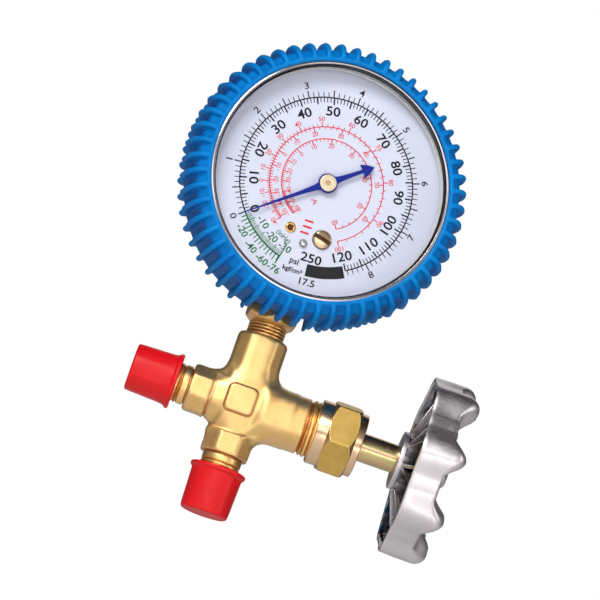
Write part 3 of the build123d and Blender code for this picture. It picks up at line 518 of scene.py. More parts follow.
V, F = nets(body_field, (-16.2, -8.8, -16.2), (19.2, 8.8, 20.6), 0.26)
V, _ = project(body_field, V, 2)
# painted shadow line round the pads' step, weaker on the left side that faces the key light and varied along its length
# by a sine pattern; painted shade lines at the left and bottom arms' ends and in the left waist groove; crease_shade
# also carries painted shade in the creases and a reddish tint on the convex edges
px, pz = np.abs(V[:, 0] + 0.65) - 2.45, np.abs(V[:, 2] - 0.2) - 2.3
pad_d = np.hypot(np.maximum(px, 0), np.maximum(pz, 0)) + np.minimum(np.maximum(px, pz), 0) - 1.5
shadow_line_wave = 0.55 + 0.45 * np.sin(V[:, 0] * 1.7 + V[:, 2] * 0.9) * np.sin(V[:, 2] * 1.3 - V[:, 0] * 0.6 + 1.0)
shadow_sides = np.clip((V[:, 0] + 4.6) / 1.2, 0, 1)
line = np.exp(-((pad_d - 0.02) / 0.13) ** 2) * (np.abs(V[:, 1]) > 6.3) * shadow_line_wave * (0.25 + 0.75 * shadow_sides)
end_l = np.exp(-((V[:, 0] + 15.2) / 0.16) ** 2) + 0.8 * np.exp(-((V[:, 0] + 9.1) / 0.28) ** 2) * (V[:, 0] < -8)
end_b = np.exp(-((V[:, 2] + 15.2) / 0.16) ** 2)
crease_shade = np.clip(np.maximum(crease_of(V, F) * 0.9, 0.62 * np.maximum.reduce([line, end_l, end_b])), 0, 1)
forging = mk("valve_body_forging", V, F.tolist(), M["forged"], "body", ["valve_body"], attrs={"crease_shade": crease_shade})


# ------------------------------------------------------------------ threaded ends
def thread_r(start, end, pitch, depth, fade=0.8, sign=1.0):
    def f(a, t, r):
        ph = (a * sign) / pitch - t / (2 * math.pi)
        ph = ph - np.floor(ph)
        tri = 1 - np.abs(2 * ph - 1)                      # 0 at root, 1 at crest
        prof = np.clip(tri / 0.62, 0, 1)
        prof = prof * prof * (3 - 2 * prof) * 0.6 + prof * 0.4
        w = np.clip((a - start) / fade, 0, 1) * np.clip((end - a) / fade, 0, 1)
        return r - depth * (1 - prof) * w
    return f


def port(name, place, bottom):
    # distances d outwards from the crossing; a = -d for both ports
    prof = [(9.0, 2.4), (9.0, 5.0), (15.2, 5.0)] + rounded([(15.45, 5.0), (15.62, 5.55), (17.3, 5.55), (17.45, 5.1)], [0, 0.25, 0.25, 0], 5) + dense([(17.55, 5.1), (17.85, 5.55), (26.6, 5.55), (27.2, 5.0)], 0.09)
    prof += rounded([(27.4, 4.75), (29.55, 3.15), (29.8, 2.9), (29.8, 2.55), (29.6, 2.4), (12.0, 2.4), (9.0, 2.4)], [0, 0.1, 0.1, 0.1, 0.1, 0.05, 0], 3)[:-1]
    f = thread_r(17.6, 27.0, 1.27, 0.48, 0.5)

    def rf(a, t, r):
        return np.where((a > 17.55) & (a < 27.25), f(a, t, r), r)

    def pl(a, r, t):
        return place(-a, r, t)
    V, F, rows = rev(prof, 96, pl, rf, closed=True)
    rr = np.hypot(V[:, 1], V[:, 2] if place is place_x else V[:, 0])
    d = -(V[:, 0] if place is place_x else V[:, 2])
    # painted shade in the thread roots
    cr = np.where((d > 15.3) & (d < 27), np.clip((5.47 - rr) / 0.4, 0, 1), 0)
    return mk(name, V, outward(V, F), M["thread"], "body", ["valve_body"], sharp=40, attrs={"crease_shade": cr * 0.6})


port("left_port", place_x, False)
port("bottom_port", place_z, True)

# bonnet thread and packing chamber
prof = [(6.5, 5.05), (6.5, 7.0), (18.0, 7.0), (18.6, 7.2)] + dense([(18.7, 7.3), (19.3, 7.98), (29.2, 7.98)], 0.1) + [(30.0, 7.3), (30.0, 6.15), (29.8, 6.0), (22.5, 6.0), (22.5, 5.05)]
f = thread_r(18.9, 29.2, 1.27, 0.5, 0.5)
V, F, rows = rev(prof, 112, place_x, lambda a, t, r: np.where((a > 18.65) & (a < 29.3) & (r > 7), f(a, t, r), r), closed=True)
# painted shade in the thread roots
rr = np.hypot(V[:, 1], V[:, 2])
mk("bonnet_thread", V, outward(V, F), M["thread"], "body", ["valve_body"], sharp=40,
   attrs={"crease_shade": np.where(rr > 6.9, np.clip((7.9 - rr) / 0.45, 0, 1), 0) * 0.6})

# ------------------------------------------------------------------ bonnet nut
NUT_TURN = 6.3 + 8.0


def nut_mesh():
    n = 360
    th = np.linspace(0, 2 * math.pi, n, endpoint=False)
    # hexagon radius with lightly rounded corners, and both ends chamfered by a cone
    ph = (th + math.radians(NUT_TURN)) % (math.pi / 3) - math.pi / 6
    hexr = np.minimum(9.5 / np.cos(ph), 10.86)
    lv = []                                               # (a, cone radius or None for a plain ring, ring radius)
    for a, r in ((21.4, 8.1), (21.4, 8.75), (21.55, 9.02), (21.8, 9.1), (24.4, 9.1), (24.6, 9.14)):
        lv.append((a, None, r))
    for q in np.linspace(0, 1, 22):
        lv.append((24.62 + 1.5 * q, 9.42 + 1.5 * math.sin(q * math.pi / 2), None))
    for a in (27.2, 28.7, 30.2):
        lv.append((a, 99.0, None))
    for q in np.linspace(1, 0, 22):
        lv.append((32.58 - 1.5 * q, 9.42 + 1.5 * math.sin(q * math.pi / 2), None))
    for a, r in ((32.62, 8.95), (34.2, 8.95), (34.45, 8.86), (34.6, 8.6), (34.6, 4.5), (34.4, 4.3), (31.8, 4.3), (31.8, 8.1)):
        lv.append((a, None, r))
    V, flat = [], []
    for a, c, r in lv:
        rr = np.full(n, r) if c is None else np.minimum(hexr, c)
        flat.append(np.zeros(n, bool) if c is None else hexr < c)
        V.append(place_x(np.full(n, a), rr, th))
    m = len(V)
    F, FM = [], []
    for i in range(m):
        i2 = (i + 1) % m
        for j in range(n):
            k = (j + 1) % n
            F.append((i * n + j, i2 * n + j, i2 * n + k, i * n + k))
            FM.append(1 if flat[i][j] and flat[i2][j] and flat[i][k] and flat[i2][k] else 0)
    V = np.concatenate(V)
    return V, outward(V, F), FM


V, F, FM = nut_mesh()
mk("bonnet_nut_turned", V, F, None, "body", ["bonnet_nut"], sharp=22, mats=[M["collar"], M["flats"]], fmat=FM)

# ------------------------------------------------------------------ gauge neck, hexagon and threads
n = 144
th = np.linspace(0, 2 * math.pi, n, endpoint=False)
ph = (th - PSI + math.pi / 6) % (math.pi / 3) - math.pi / 6
hexr = np.minimum(6.8 / np.cos(ph), 7.75)
sec = []
fz = thread_r(11.3, 23.2, 0.941, 0.42, 0.35)
for z in np.arange(11.2, 23.05, 0.07):
    taper = 5.02 + 0.018 * (z - 11.2)
    r0 = np.full(n, taper + 0.16)
    sec.append((z, fz(np.full(n, z), th, r0)))
sec += [(23.1, np.full(n, 5.0)), (23.3, np.full(n, 5.25)), (23.45, np.full(n, 5.7)), (23.9, np.minimum(hexr, 6.35)), (24.35, np.minimum(hexr, 6.85)), (24.8, np.minimum(hexr, 7.3)), (25.2, np.minimum(hexr, 7.6)), (25.6, hexr), (28.8, hexr)]
sec += [(28.9, np.full(n, 6.45)), (31.6, np.full(n, 6.4))]
V = [np.array([[0, 0, 11.2]])] + [np.stack([r * np.cos(th), r * np.sin(th), np.full(n, z)], -1) for z, r in sec] + [np.array([[0, 0, 31.6]])]
F = [(0, 1 + (j + 1) % n, 1 + j) for j in range(n)]
for i in range(len(sec) - 1):
    F += [(1 + i * n + j, 1 + i * n + (j + 1) % n, 1 + (i + 1) * n + (j + 1) % n, 1 + (i + 1) * n + j) for j in range(n)]
last = 1 + (len(sec) - 1) * n
F += [(last + n, last + j, last + (j + 1) % n) for j in range(n)]
V = np.concatenate(V)
# painted shade in the thread roots
rr = np.hypot(V[:, 0], V[:, 1])
neck = mk("gauge_neck", V, outward(V, F), M["turned"], "body", ["gauge_socket"], sharp=35,
          attrs={"crease_shade": np.where(V[:, 2] < 23, np.clip((5.38 - rr) / 0.42, 0, 1), 0)}, mats=[M["thread"], M["forged"]],
          fmat=[0 if (np.mean(V[list(f)][:, 2]) < 23.2) else 1 for f in outward(V, F)])


def block(name, x0, x1, z0, z1, h0, h1, mat, r=0.4):
    poly = rounded([(x0, h0), (x1, h0), (x1, h1), (x0, h1)], r, 4, True)
    poly = np.array(poly)
    k = len(poly)
    levels = [(z0, -0.35), (z0 + 0.35, 0.0), (z1 - 0.35, 0.0), (z1, -0.35)]
    cx, ch = (x0 + x1) / 2, (h0 + h1) / 2
    V = []
    for z, g in levels:
        sx = 1 + 2 * g / (x1 - x0)
        sh = 1 + 2 * g / (h1 - h0)
        V.append(dialP(cx + (poly[:, 0] - cx) * sx, np.full(k, z - GZ), ch + (poly[:, 1] - ch) * sh))
    F = [tuple(range(k)), tuple(range(4 * k - 1, 3 * k - 1, -1))]
    for i in range(3):
        F += [(i * k + j, (i + 1) * k + j, (i + 1) * k + (j + 1) % k, i * k + (j + 1) % k) for j in range(k)]
    V = np.concatenate(V)
    return mk(name, V, outward(V, F), mat, "body", ["gauge_socket"], sharp=35)


block("socket_block", -6.5, 6.5, 31.4, 46.4, -5.3, 5.3, M["flats"])

# ------------------------------------------------------------------ dust caps
def cap(name, place, body, replaced, phase, seed):
    rng = np.random.RandomState(seed)
    k = rng.uniform(-1, 1, 12)
    outer = rounded([(18.85, 5.68), (18.85, 7.45), (19.0, 7.85), (19.75, 7.85), (20.45, 7.22), (23.0, 7.12), (30.0, 6.86), (32.0, 6.7), (32.0, 0.0)],
                    [0, 0.25, 0.3, 0.3, 0.6, 0.5, 1.0, 1.5, 0], 7)
    inner = [(30.2, 0.0), (30.2, 5.3), (29.9, 5.68), (18.85, 5.68)]
    prof = dense(outer, 0.6)[:-1] + [(32.0, 3.0), (32.02, 1.2), (32.02, 0.0)]
    prof_in = dense(inner, 0.9)

    def rf(a, t, r):
        facet = -np.abs(np.sin(4 * (t + phase))) * 0.13 + 0.05 * np.cos(3 * t + k[1] * 3)
        rim = 0.10 * np.sin(2 * t + k[3] * 3) + 0.06 * np.sin(5 * t + k[4] * 3)
        w = np.clip((a - 20.6) / 1.5, 0, 1) * np.clip((31.8 - a) / 0.8, 0.2, 1)
        return np.where(r > 5.8, r + facet * w + rim * np.clip((20.4 - a) / 1.2, 0, 1) * 0.5 - 0.05, r)

    def pl(a, r, t):
        return place(-a, r, t)
    V1, F1, r1 = rev(prof, 128, pl, rf)
    V2, F2, r2 = rev(prof_in, 128, pl)
    # the two shells share the rim row: the last inner row is the first outer row
    V = np.concatenate([V1, V2])
    F = F1 + [tuple(i + len(V1) for i in f) for f in F2]
    a, b = r1[0], [i + len(V1) for i in r2[-1]]
    F += [(b[j], a[j], a[(j + 1) % 128], b[(j + 1) % 128]) for j in range(128)]
    # remove the doubled rim
    o = mk(name, V, F, M["vinyl"], body, [replaced], sharp=60)
    import bmesh
    bm = bmesh.new()
    bm.from_mesh(o.data)
    bmesh.ops.remove_doubles(bm, verts=bm.verts, dist=1e-7)
    bmesh.ops.recalc_face_normals(bm, faces=bm.faces)
    bm.to_mesh(o.data)
    bm.free()
    return o


cap("left_dust_cap", place_x, "left_cap", "left_port_cap", 0.3, 3)
cap("bottom_dust_cap", place_z, "bottom_cap", "bottom_port_cap", 0.1, 5)

# ------------------------------------------------------------------ handwheel
NW = 480
tw = np.linspace(0, 2 * math.pi, NW, endpoint=False)
lob = np.cos(8 * (tw - math.radians(86.5)))
lobe = np.clip(lob * 0.5 + 0.5, 0, 1)
ridge = np.clip((lobe - 0.10) / 0.90, 0, 1) ** 1.2
R_out = 23.75 + 2.25 * ridge
R_rear = 24.05 + 1.75 * ridge
R_in = R_rear - 1.7
nose = np.clip((lobe - 0.36) / 0.64, 0, 1) ** 1.35
x_front = 57.1 + 4.45 * nose


def wheel_mesh():
    rows, mat = [], []

    def add(x, r, m=0):
        rows.append(place_x(np.broadcast_to(np.asarray(x, float), (NW,)).copy(), np.broadcast_to(np.asarray(r, float), (NW,)).copy(), tw))
        mat.append(m)
    # inside of the skirt from the face plate to the rear rim
    # rows flagged 1 take the dark inside material, which is painted shade
    add(55.4, 8.6, 1)
    add(55.6, 12.0, 1)
    add(55.6, 18.0, 1)
    add(55.5, R_in - 1.0, 1)
    add(55.1, R_in - 0.35, 1)
    add(54.2, R_in, 1)
    add(51.0, R_in + 0.1, 1)
    add(49.0, R_in + 0.25, 1)
    add(48.72, R_in + 0.4, 0)
    add(48.6, R_in + 0.7, 0)
    add(48.6, R_rear - 0.45, 0)
    add(48.7, R_rear - 0.15, 0)
    add(48.95, R_rear, 0)
    for x in (49.8, 50.8, 51.8, 52.8, 53.8, 54.6):
        q = (x - 48.95) / 5.65
        add(x, R_rear + (R_out - R_rear) * q * q * (3 - 2 * q), 0)
    f = 1.1 + 2.3 * nose
    for t in np.linspace(0, 1, 10):
        a = t * math.pi / 2
        add(x_front - f + f * math.sin(a), R_out - f * 0.95 + f * 0.95 * math.cos(a), 0)
    # face: from the edge of the nose in to the middle
    r0 = R_out - f * 0.95
    for t in (0.12, 0.25, 0.38, 0.5, 0.62, 0.75, 0.88, 1.0):
        r = r0 + (13.6 - r0) * t
        s = np.clip((t - 0.18) / 0.72, 0, 1)
        s = s * s * (3 - 2 * s)
        add(57.4 + (x_front - 57.4) * (1 - s), r, 0)
    add(57.5, 11.5, 0)
    add(57.9, 9.9, 0)
    add(58.25, 9.2, 0)
    add(58.3, 8.2, 0)
    add(58.3, 6.0, 0)
    add(58.15, 5.65, 0)
    add(57.2, 5.6, 0)
    add(57.2, 4.06, 1)
    add(45.6, 4.06, 1)
    add(45.3, 4.4, 1)
    add(45.3, 7.85, 0)
    add(45.45, 8.18, 0)
    add(45.8, 8.25, 0)
    add(46.6, 8.25, 1)
    add(50.0, 8.25, 1)
    add(54.8, 8.3, 1)
    m = len(rows)
    F, FM = [], []
    for i in range(m):
        i2 = (i + 1) % m
        for j in range(NW):
            k = (j + 1) % NW
            F.append((i * NW + j, i2 * NW + j, i2 * NW + k, i * NW + k))
            FM.append(1 if mat[i] and mat[i2] else 0)
    return np.concatenate(rows), F, FM


V, F, FM = wheel_mesh()
Fo = outward(V, F)
mk("handwheel_casting", V, Fo, None, "spindle", ["handwheel"], sharp=38, mats=[M["wheel"], M["wheel_in"]], fmat=FM)

parts = []
for k in range(8):
    for side in (-1, 1):
        # two webs leave the hub together and spread to the skirt
        a0 = math.radians(86.5 + 22.5 + 45 * k + side * 2.2)
        a1 = math.radians(86.5 + 22.5 + 45 * k + side * 10.0)
        outl = [(8.0, 46.6), (9.2, 46.9), (22.9, 51.8), (22.9, 55.9), (8.0, 55.9)]
        Vp = []
        for s_ in (-1, 1):
            for r, x in outl:
                q = (r - 8.0) / 14.9
                w = 0.45 if x < 55 else 0.7
                ry, rz = -(r * (math.sin(a0) * (1 - q) + math.sin(a1) * q)), r * (math.cos(a0) * (1 - q) + math.cos(a1) * q)
                ty, tz = -math.cos(a1), -math.sin(a1)
                Vp.append([x, ry + s_ * w * ty, rz + s_ * w * tz])
        c = len(outl)
        Fp = [tuple(range(c)), tuple(range(2 * c - 1, c - 1, -1))] + [(i, c + i, c + (i + 1) % c, (i + 1) % c) for i in range(c)]
        parts.append((Vp, outward(Vp, Fp)))
V, F = join(parts)
webs = mk("handwheel_webs", V, F, M["web"], "spindle", ["handwheel"], sharp=35)
bv = webs.modifiers.new("bevel", "BEVEL")
bv.width, bv.segments, bv.limit_method = 0.00018, 2, "ANGLE"

# ------------------------------------------------------------------ rubber boot
NR = 54
pitch = 2 * math.pi / NR


def boot_mesh():
    # samples over one pitch, in mm of arc at r 37.3 from the rib's centre
    u1 = [0.0, 0.22, 0.42, 0.58, 0.70, 0.78, 0.84, 0.90, 1.0, 1.2, 1.5, 1.85]
    us = [-x for x in reversed(u1[1:])] + u1
    half = 37.3 * pitch / 2
    us = np.array(us + [half])
    # rib height share over its width
    au = np.abs(us)
    share = np.where(au <= 0.58, 1 - 0.16 * (au / 0.58) ** 2, 0)
    share = np.where((au > 0.58) & (au <= 0.70), 0.76, share)
    share = np.where((au > 0.70) & (au <= 0.78), 0.60, share)
    share = np.where((au > 0.78) & (au <= 0.84), 0.36, share)
    share = np.where((au > 0.84) & (au <= 0.90), 0.16, share)
    share = np.where((au > 0.90) & (au <= 1.0), 0.06, share)
    share = np.where((au > 1.0) & (au <= 1.2), 0.02, share)
    ang = np.concatenate([(k + 0.5) * pitch + us / 37.3 for k in range(NR)])
    sh = np.tile(share, NR)
    kk = np.repeat(np.arange(NR), len(us))
    rng = np.random.RandomState(11)
    var = rng.uniform(-1, 1, NR)[kk]
    # outer profile, front lip first: (h, base r, crest r)
    P = [(20.75, 33.42, 33.42), (21.05, 33.62, 33.62), (21.25, 34.05, 34.05), (21.3, 34.5, 34.5), (21.3, 34.8, 34.95), (21.28, 35.1, 35.45), (21.15, 35.5, 36.1), (20.85, 35.85, 36.8),
         (20.35, 36.2, 37.5), (19.7, 36.55, 38.1), (19.0, 36.85, 38.55), (18.2, 37.05, 38.95), (17.2, 37.25, 39.3), (15.8, 37.3, 39.7),
         (14.2, 37.3, 40.0), (12.4, 37.3, 40.22), (10.8, 37.3, 40.27), (9.4, 37.3, 40.12), (8.2, 37.3, 39.8), (7.2, 37.3, 39.42), (6.3, 37.3, 39.18),
         (5.5, 37.3, 39.15), (4.7, 37.3, 39.3), (3.8, 37.3, 39.5), (2.9, 37.3, 39.6), (2.0, 37.3, 39.52), (1.2, 37.3, 39.25), (0.5, 37.3, 38.8),
         (0.05, 37.28, 38.2), (-0.2, 37.22, 37.6), (-0.4, 37.05, 37.1), (-0.7, 36.8, 36.8), (-0.95, 36.4, 36.4), (-1.0, 36.0, 36.0),
         (-1.0, 34.3, 34.3), (-0.9, 34.12, 34.12), (11.9, 34.12, 34.12), (12.1, 35.05, 35.05), (19.7, 35.05, 35.05), (20.35, 34.4, 34.4), (20.6, 33.6, 33.6)]
    rows = []
    drop = {3: 0.2, 4: 0.75, 5: 1.2, 6: 1.45, 7: 1.5, 8: 1.35, 9: 1.05, 10: 0.6, 11: 0.2}
    for i, (h, rb, rc) in enumerate(P):
        r = rb + (rc - rb) * sh * (1 + 0.03 * var)
        r = r + 0.05 * np.sin(5 * ang + h) * (r > 36)
        rows.append(np.stack([r * np.cos(ang), r * np.sin(ang), h - drop.get(i, 0.0) * (1 - sh)], -1))
    n, m = len(ang), len(rows)
    V = np.concatenate(rows)
    F = []
    for i in range(m):
        for j in range(n):
            k = (j + 1) % n
            i2 = (i + 1) % m
            F.append((i * n + j, i2 * n + j, i2 * n + k, i * n + k))
    # painted shade in the valleys between the ribs
    base = np.repeat([p[1] for p in P], n)
    rr = np.hypot(V[:, 0], V[:, 1])
    cr = np.where((np.abs(rr - base) < 0.35) & (V[:, 2] < 19.5) & (rr > 36.8), 0.55, 0.0)
    return V, F, cr


V, F, cr = boot_mesh()
Vw = dialP(V[:, 0], V[:, 1], V[:, 2])
boot = mk("boot_rubber", Vw, outward(Vw[:], F), M["rubber"], "body", ["boot"], attrs={"crease_shade": cr})
# the notch that the gauge neck comes through, open to the back
Vc, Fc = [], []
notch = rounded([(-9.0, 9.2), (9.0, 9.2), (9.0, -9.5), (-9.0, -9.5)], [1.6, 1.6, 0, 0], 6, True)
k = len(notch)
nx = np.array(notch)
for z in (-44.0, -30.0):
    Vc.append(dialP(nx[:, 0], np.full(k, z), nx[:, 1]))
Vc = np.concatenate(Vc)
Fc = [tuple(range(k)), tuple(range(2 * k - 1, k - 1, -1))] + [(i, k + i, k + (i + 1) % k, (i + 1) % k) for i in range(k)]
cutter = mk("notch_cutter", Vc, outward(Vc, Fc), M["rubber"], "body", rides=False)
bo = boot.modifiers.new("notch", "BOOLEAN")
bo.operation, bo.object, bo.solver = "DIFFERENCE", cutter, "EXACT"
bpy.context.view_layer.update()
dg = bpy.context.evaluated_depsgraph_get()
me2 = bpy.data.meshes.new_from_object(boot.evaluated_get(dg), depsgraph=dg)
boot.modifiers.clear()
boot.data = me2
bpy.data.objects.remove(cutter)
boot.data.set_sharp_from_angle(angle=math.radians(50))

# ------------------------------------------------------------------ bezel ring and lens
prof = rounded([(12.2, 34.15), (12.2, 35.0), (19.4, 35.0), (20.15, 34.6), (20.55, 34.0), (20.6, 33.3), (20.7, 33.0), (20.62, 32.62), (20.2, 32.45), (19.8, 32.15), (19.45, 31.95), (19.45, 33.9), (19.0, 34.15)],
               [0.1, 0.25, 0.4, 0.3, 0.3, 0.3, 0.12, 0.1, 0.1, 0.1, 0.05, 0.05, 0.1], 5, True)
V, F, rows = rev(prof, 256, place_g, closed=True)
Fo = outward(V, F)
gx, gy = V[:, 0] * CP + V[:, 1] * SP, V[:, 2] - GZ
gr = np.hypot(gx, gy)
# the ring's inner wall is a dark copy of the ring's metal: painted shade
ring_wall_shade = metal("ring_inner_painted_shade", (0.16, 0.16, 0.19), (0.12, 0.12, 0.15), (0.16, 0.24), 2400, (1, 1, 1), 0.03)
mk("bezel_ring", V, Fo, None, "body", ["bezel"], sharp=50, mats=[M["chrome"], ring_wall_shade], fmat=[1 if gr[list(f)].mean() < 32.6 else 0 for f in Fo])
prof = rounded([(17.3, 0.0), (17.3, 33.6), (19.3, 33.6), (19.3, 0.0)], [0, 0.25, 0.25, 0], 4)
prof[-1] = (19.3, 0.0)
V, F, rows = rev(prof, 160, place_g)
mk("window_pane", V, outward(V, F), M["glass"], "body", ["lens"], sharp=40)

# ------------------------------------------------------------------ dial plate
prof = rounded([(14.4, 0.98), (14.4, 32.35), (14.9, 32.35), (14.9, 0.98)], [0.03, 0.12, 0.12, 0.03], 4, True)
V, F, rows = rev(prof, 192, place_g, closed=True)
V, F = V, outward(V, F)
dial = mk("dial_plate", V, F, M["dial"], "body", ["dial"], sharp=40)
holes = []
for x, y, r in ((3.8, -15.2, 2.72), (-5.6, -15.1, 1.05), (-0.8, -18.1, 0.76)):
    t = np.linspace(0, 2 * math.pi, 48, endpoint=False)
    p = np.stack([x + r * np.cos(t), y + r * np.sin(t)], -1)
    v, f = prism(p, lambda a, b, h: dialP(a, b, h), 13.9, 15.4)
    holes.append((v, outward(v, f)))
Vc, Fc = join(holes)
cutter = mk("dial_cutter", Vc, Fc, M["dial"], "body", rides=False)
bo = dial.modifiers.new("holes", "BOOLEAN")
bo.operation, bo.object, bo.solver = "DIFFERENCE", cutter, "EXACT"
bpy.context.view_layer.update()
dg = bpy.context.evaluated_depsgraph_get()
me2 = bpy.data.meshes.new_from_object(dial.evaluated_get(dg), depsgraph=dg)
dial.modifiers.clear()
dial.data = me2
bpy.data.objects.remove(cutter)
dial.data.set_sharp_from_angle(angle=math.radians(30))

# ------------------------------------------------------------------ dial print
H0, H1 = 14.885, 14.93


def pol(r, a):
    """Dial point at radius r and angle a, degrees clockwise from the top."""
    t = math.radians(a)
    return r * math.sin(t), r * math.cos(t)


class Ink:
    def __init__(self):
        self.parts = []

    def poly(self, pts):
        v, f = prism(pts, lambda a, b, h: dialP(a, b, h), H0, H1)
        self.parts.append((v, outward(v, f)))

    def tick(self, a, r0, r1, w):
        c = np.array(pol(1, a))
        s = np.array([c[1], -c[0]]) * w / 2
        self.poly([c * r0 - s, c * r0 + s, c * r1 + s, c * r1 - s])

    def arc(self, r, a0, a1, w, cx=0.0, cy=0.0):
        n = max(8, int(abs(a1 - a0) / 1.5))
        A = np.linspace(a0, a1, n + 1)
        lo = [pol(r - w / 2, a) for a in A]
        hi = [pol(r + w / 2, a) for a in A]
        V = np.array([dialP(*p, h) for h in (H0, H1) for p in lo + hi])
        m = n + 1
        F = []
        for i in range(n):
            F.append((2 * m + i, 2 * m + i + 1, 3 * m + i + 1, 3 * m + i))
            F.append((i, m + i, m + i + 1, i + 1))
            F.append((i, i + 1, 2 * m + i + 1, 2 * m + i))
            F.append((m + i, 3 * m + i, 3 * m + i + 1, m + i + 1))
        F.append((0, 2 * m, 3 * m, m))
        F.append((n, m + n, 3 * m + n, 2 * m + n))
        self.parts.append((V, outward(V, F)))

    def text(self, s, x, y, size, rot, squeeze=1.0, weight=0.0):
        """s centred at x, y on the dial, size high, turned rot degrees counterclockwise."""
        cu = bpy.data.curves.new("t", "FONT")
        cu.body = s
        cu.size = 1.0
        cu.align_x, cu.align_y = "CENTER", "CENTER"
        cu.resolution_u = 3
        cu.offset = weight
        ob = bpy.data.objects.new("t", cu)
        COL.objects.link(ob)
        bpy.context.view_layer.update()
        dg = bpy.context.evaluated_depsgraph_get()
        me = bpy.data.meshes.new_from_object(ob.evaluated_get(dg), depsgraph=dg)
        P = np.array([v.co[:2] for v in me.vertices], float).reshape(-1, 2)
        T = [tuple(p.vertices) for p in me.polygons]
        bpy.data.objects.remove(ob)
        bpy.data.meshes.remove(me)
        if not len(P):
            return
        lo, hi = P.min(0), P.max(0)
        P = P - (lo + hi) / 2
        P = P * (size / (hi[1] - lo[1] if s[-1].isdigit() else 0.72))
        P[:, 0] *= squeeze
        c, q = math.cos(math.radians(rot)), math.sin(math.radians(rot))
        Q = np.stack([x + P[:, 0] * c - P[:, 1] * q, y + P[:, 0] * q + P[:, 1] * c], -1)
        n = len(Q)
        # merge doubled outline points, then close the thickness
        key = {}
        idx = []
        U = []
        for p in Q:
            k = (round(p[0], 4), round(p[1], 4))
            if k not in key:
                key[k] = len(U)
                U.append(p)
            idx.append(key[k])
        T = [tuple(idx[i] for i in t) for t in T]
        T = [t for t in T if len(set(t)) == len(t)]
        U = np.array(U)
        n = len(U)
        area = 0
        for t in T:
            a, b, d = U[t[0]], U[t[1]], U[t[2]]
            area += (b[0] - a[0]) * (d[1] - a[1]) - (b[1] - a[1]) * (d[0] - a[0])
        if area < 0:
            T = [tuple(reversed(t)) for t in T]
        edges = {}
        for t in T:
            for i in range(len(t)):
                e = (t[i], t[(i + 1) % len(t)])
                edges[e] = edges.get(e, 0) + 1
        rim = [e for e in edges if (e[1], e[0]) not in edges]
        V = np.concatenate([dialP(U[:, 0], U[:, 1], H0), dialP(U[:, 0], U[:, 1], H1)])
        F = [tuple(reversed(t)) for t in T] + [tuple(i + n for i in t) for t in T] + [(a, b, b + n, a + n) for a, b in rim]
        self.parts.append((V, F))

    def along(self, s, r, a, size, top_out, squeeze=1.0, weight=0.0):
        x, y = pol(r, a)
        self.text(s, x, y, size, -a if top_out else 180 - a, squeeze, weight)

    def make(self, name, mat):
        V, F = join(self.parts)
        return mk(name, V, F, mat, "body", ["dial"], sharp=30)


def A(p):
    return -129.8 + 2.32 * p


K = Ink()
K.arc(24.45, A(0) - 0.2, A(120) + 0.2, 0.36)
for p in range(0, 121):
    if p % 5 == 0:
        K.tick(A(p), 24.4, 22.45, 0.42 if p else 0.26)
    else:
        K.tick(A(p), 24.4, 23.0, 0.25)
k = 0
while A(1.42233 * k) < A(120) + 0.1:
    K.tick(A(1.42233 * k), 24.5, 26.55 if k % 5 == 0 else 25.95, 0.34 if k % 5 == 0 else 0.24)
    k += 1
for p in range(0, 121, 10):
    K.along(str(p), (20.6 if 25 < p < 95 else 20.5) if p else 21.6, A(p), 2.75, 25 < p < 95, 1.12, 0.018)
for k in range(0, 9):
    K.along(str(k), 28.0 if k not in (7, 8) else 27.7, A(14.2233 * k), 1.9, 1.5 < k < 6.5, 1.2, 0.012)
K.text("250", 2.7, -21.2, 2.6, 3.5, 1.15, 0.02)
K.text("17.5", 3.7, -27.9, 1.95, 5.3, 1.12, 0.02)
K.text("psi", -1.5, -23.8, 1.75, -1, 1.0, 0.02)
K.text("kgf/cm²", -1.2, -26.2, 1.8, 2, 1.05, 0.03)
# curved black block between the last two readings, left plain
lo = [pol(23.1, a) for a in np.linspace(174.6, 150.0, 14)]
hi = [pol(26.5, a) for a in np.linspace(150.0, 174.6, 14)]
K.poly(lo + hi)
K.make("dial_print_black", M["ink_black"])

G = Ink()
G.arc(24.45, -166.2, A(0) - 0.4, 0.42)
for i in range(1, 31):
    a = A(0) - (36.4 / 30) * i
    G.tick(a, 24.4, 22.5 if i % 5 == 0 else 22.95, 0.28 if i % 5 == 0 else 0.19)
for i in range(1, 16):
    a = A(0) - (36.4 / 76 * 5) * i
    G.tick(a, 24.5, 26.55 if i % 2 == 0 else 25.95, 0.28)
G.tick(-166.2, 22.4, 26.9, 0.34)
for s, x, y, sz in (("-10", -13.1, -16.5, 2.0), ("-20", -9.6, -19.3, 2.0), ("-30", -5.2, -20.9, 2.0)):
    a = math.degrees(math.atan2(x, y))
    G.text(s, x, y, sz, (180 - a) % 360, 1.06, 0.016)
for s, x, y, sz in (("-20", -17.8, -20.8, 2.0), ("-40", -14.1, -24.2, 2.0), ("-60", -10.1, -26.4, 2.0), ("-76", -6.3, -27.5, 2.0)):
    a = math.degrees(math.atan2(x, y))
    G.text(s, x, y, sz, (180 - a) % 360, 1.06, 0.016)
G.text("(inHg)", -6.6, -18.4, 1.45, (180 - (-156.1)) % 360, 0.95, 0.012)
G.text("(cmHg)", -12.0, -29.0, 1.1, (180 - (-158.0)) % 360, 0.95, 0.012)
G.make("dial_print_green", M["ink_green"])

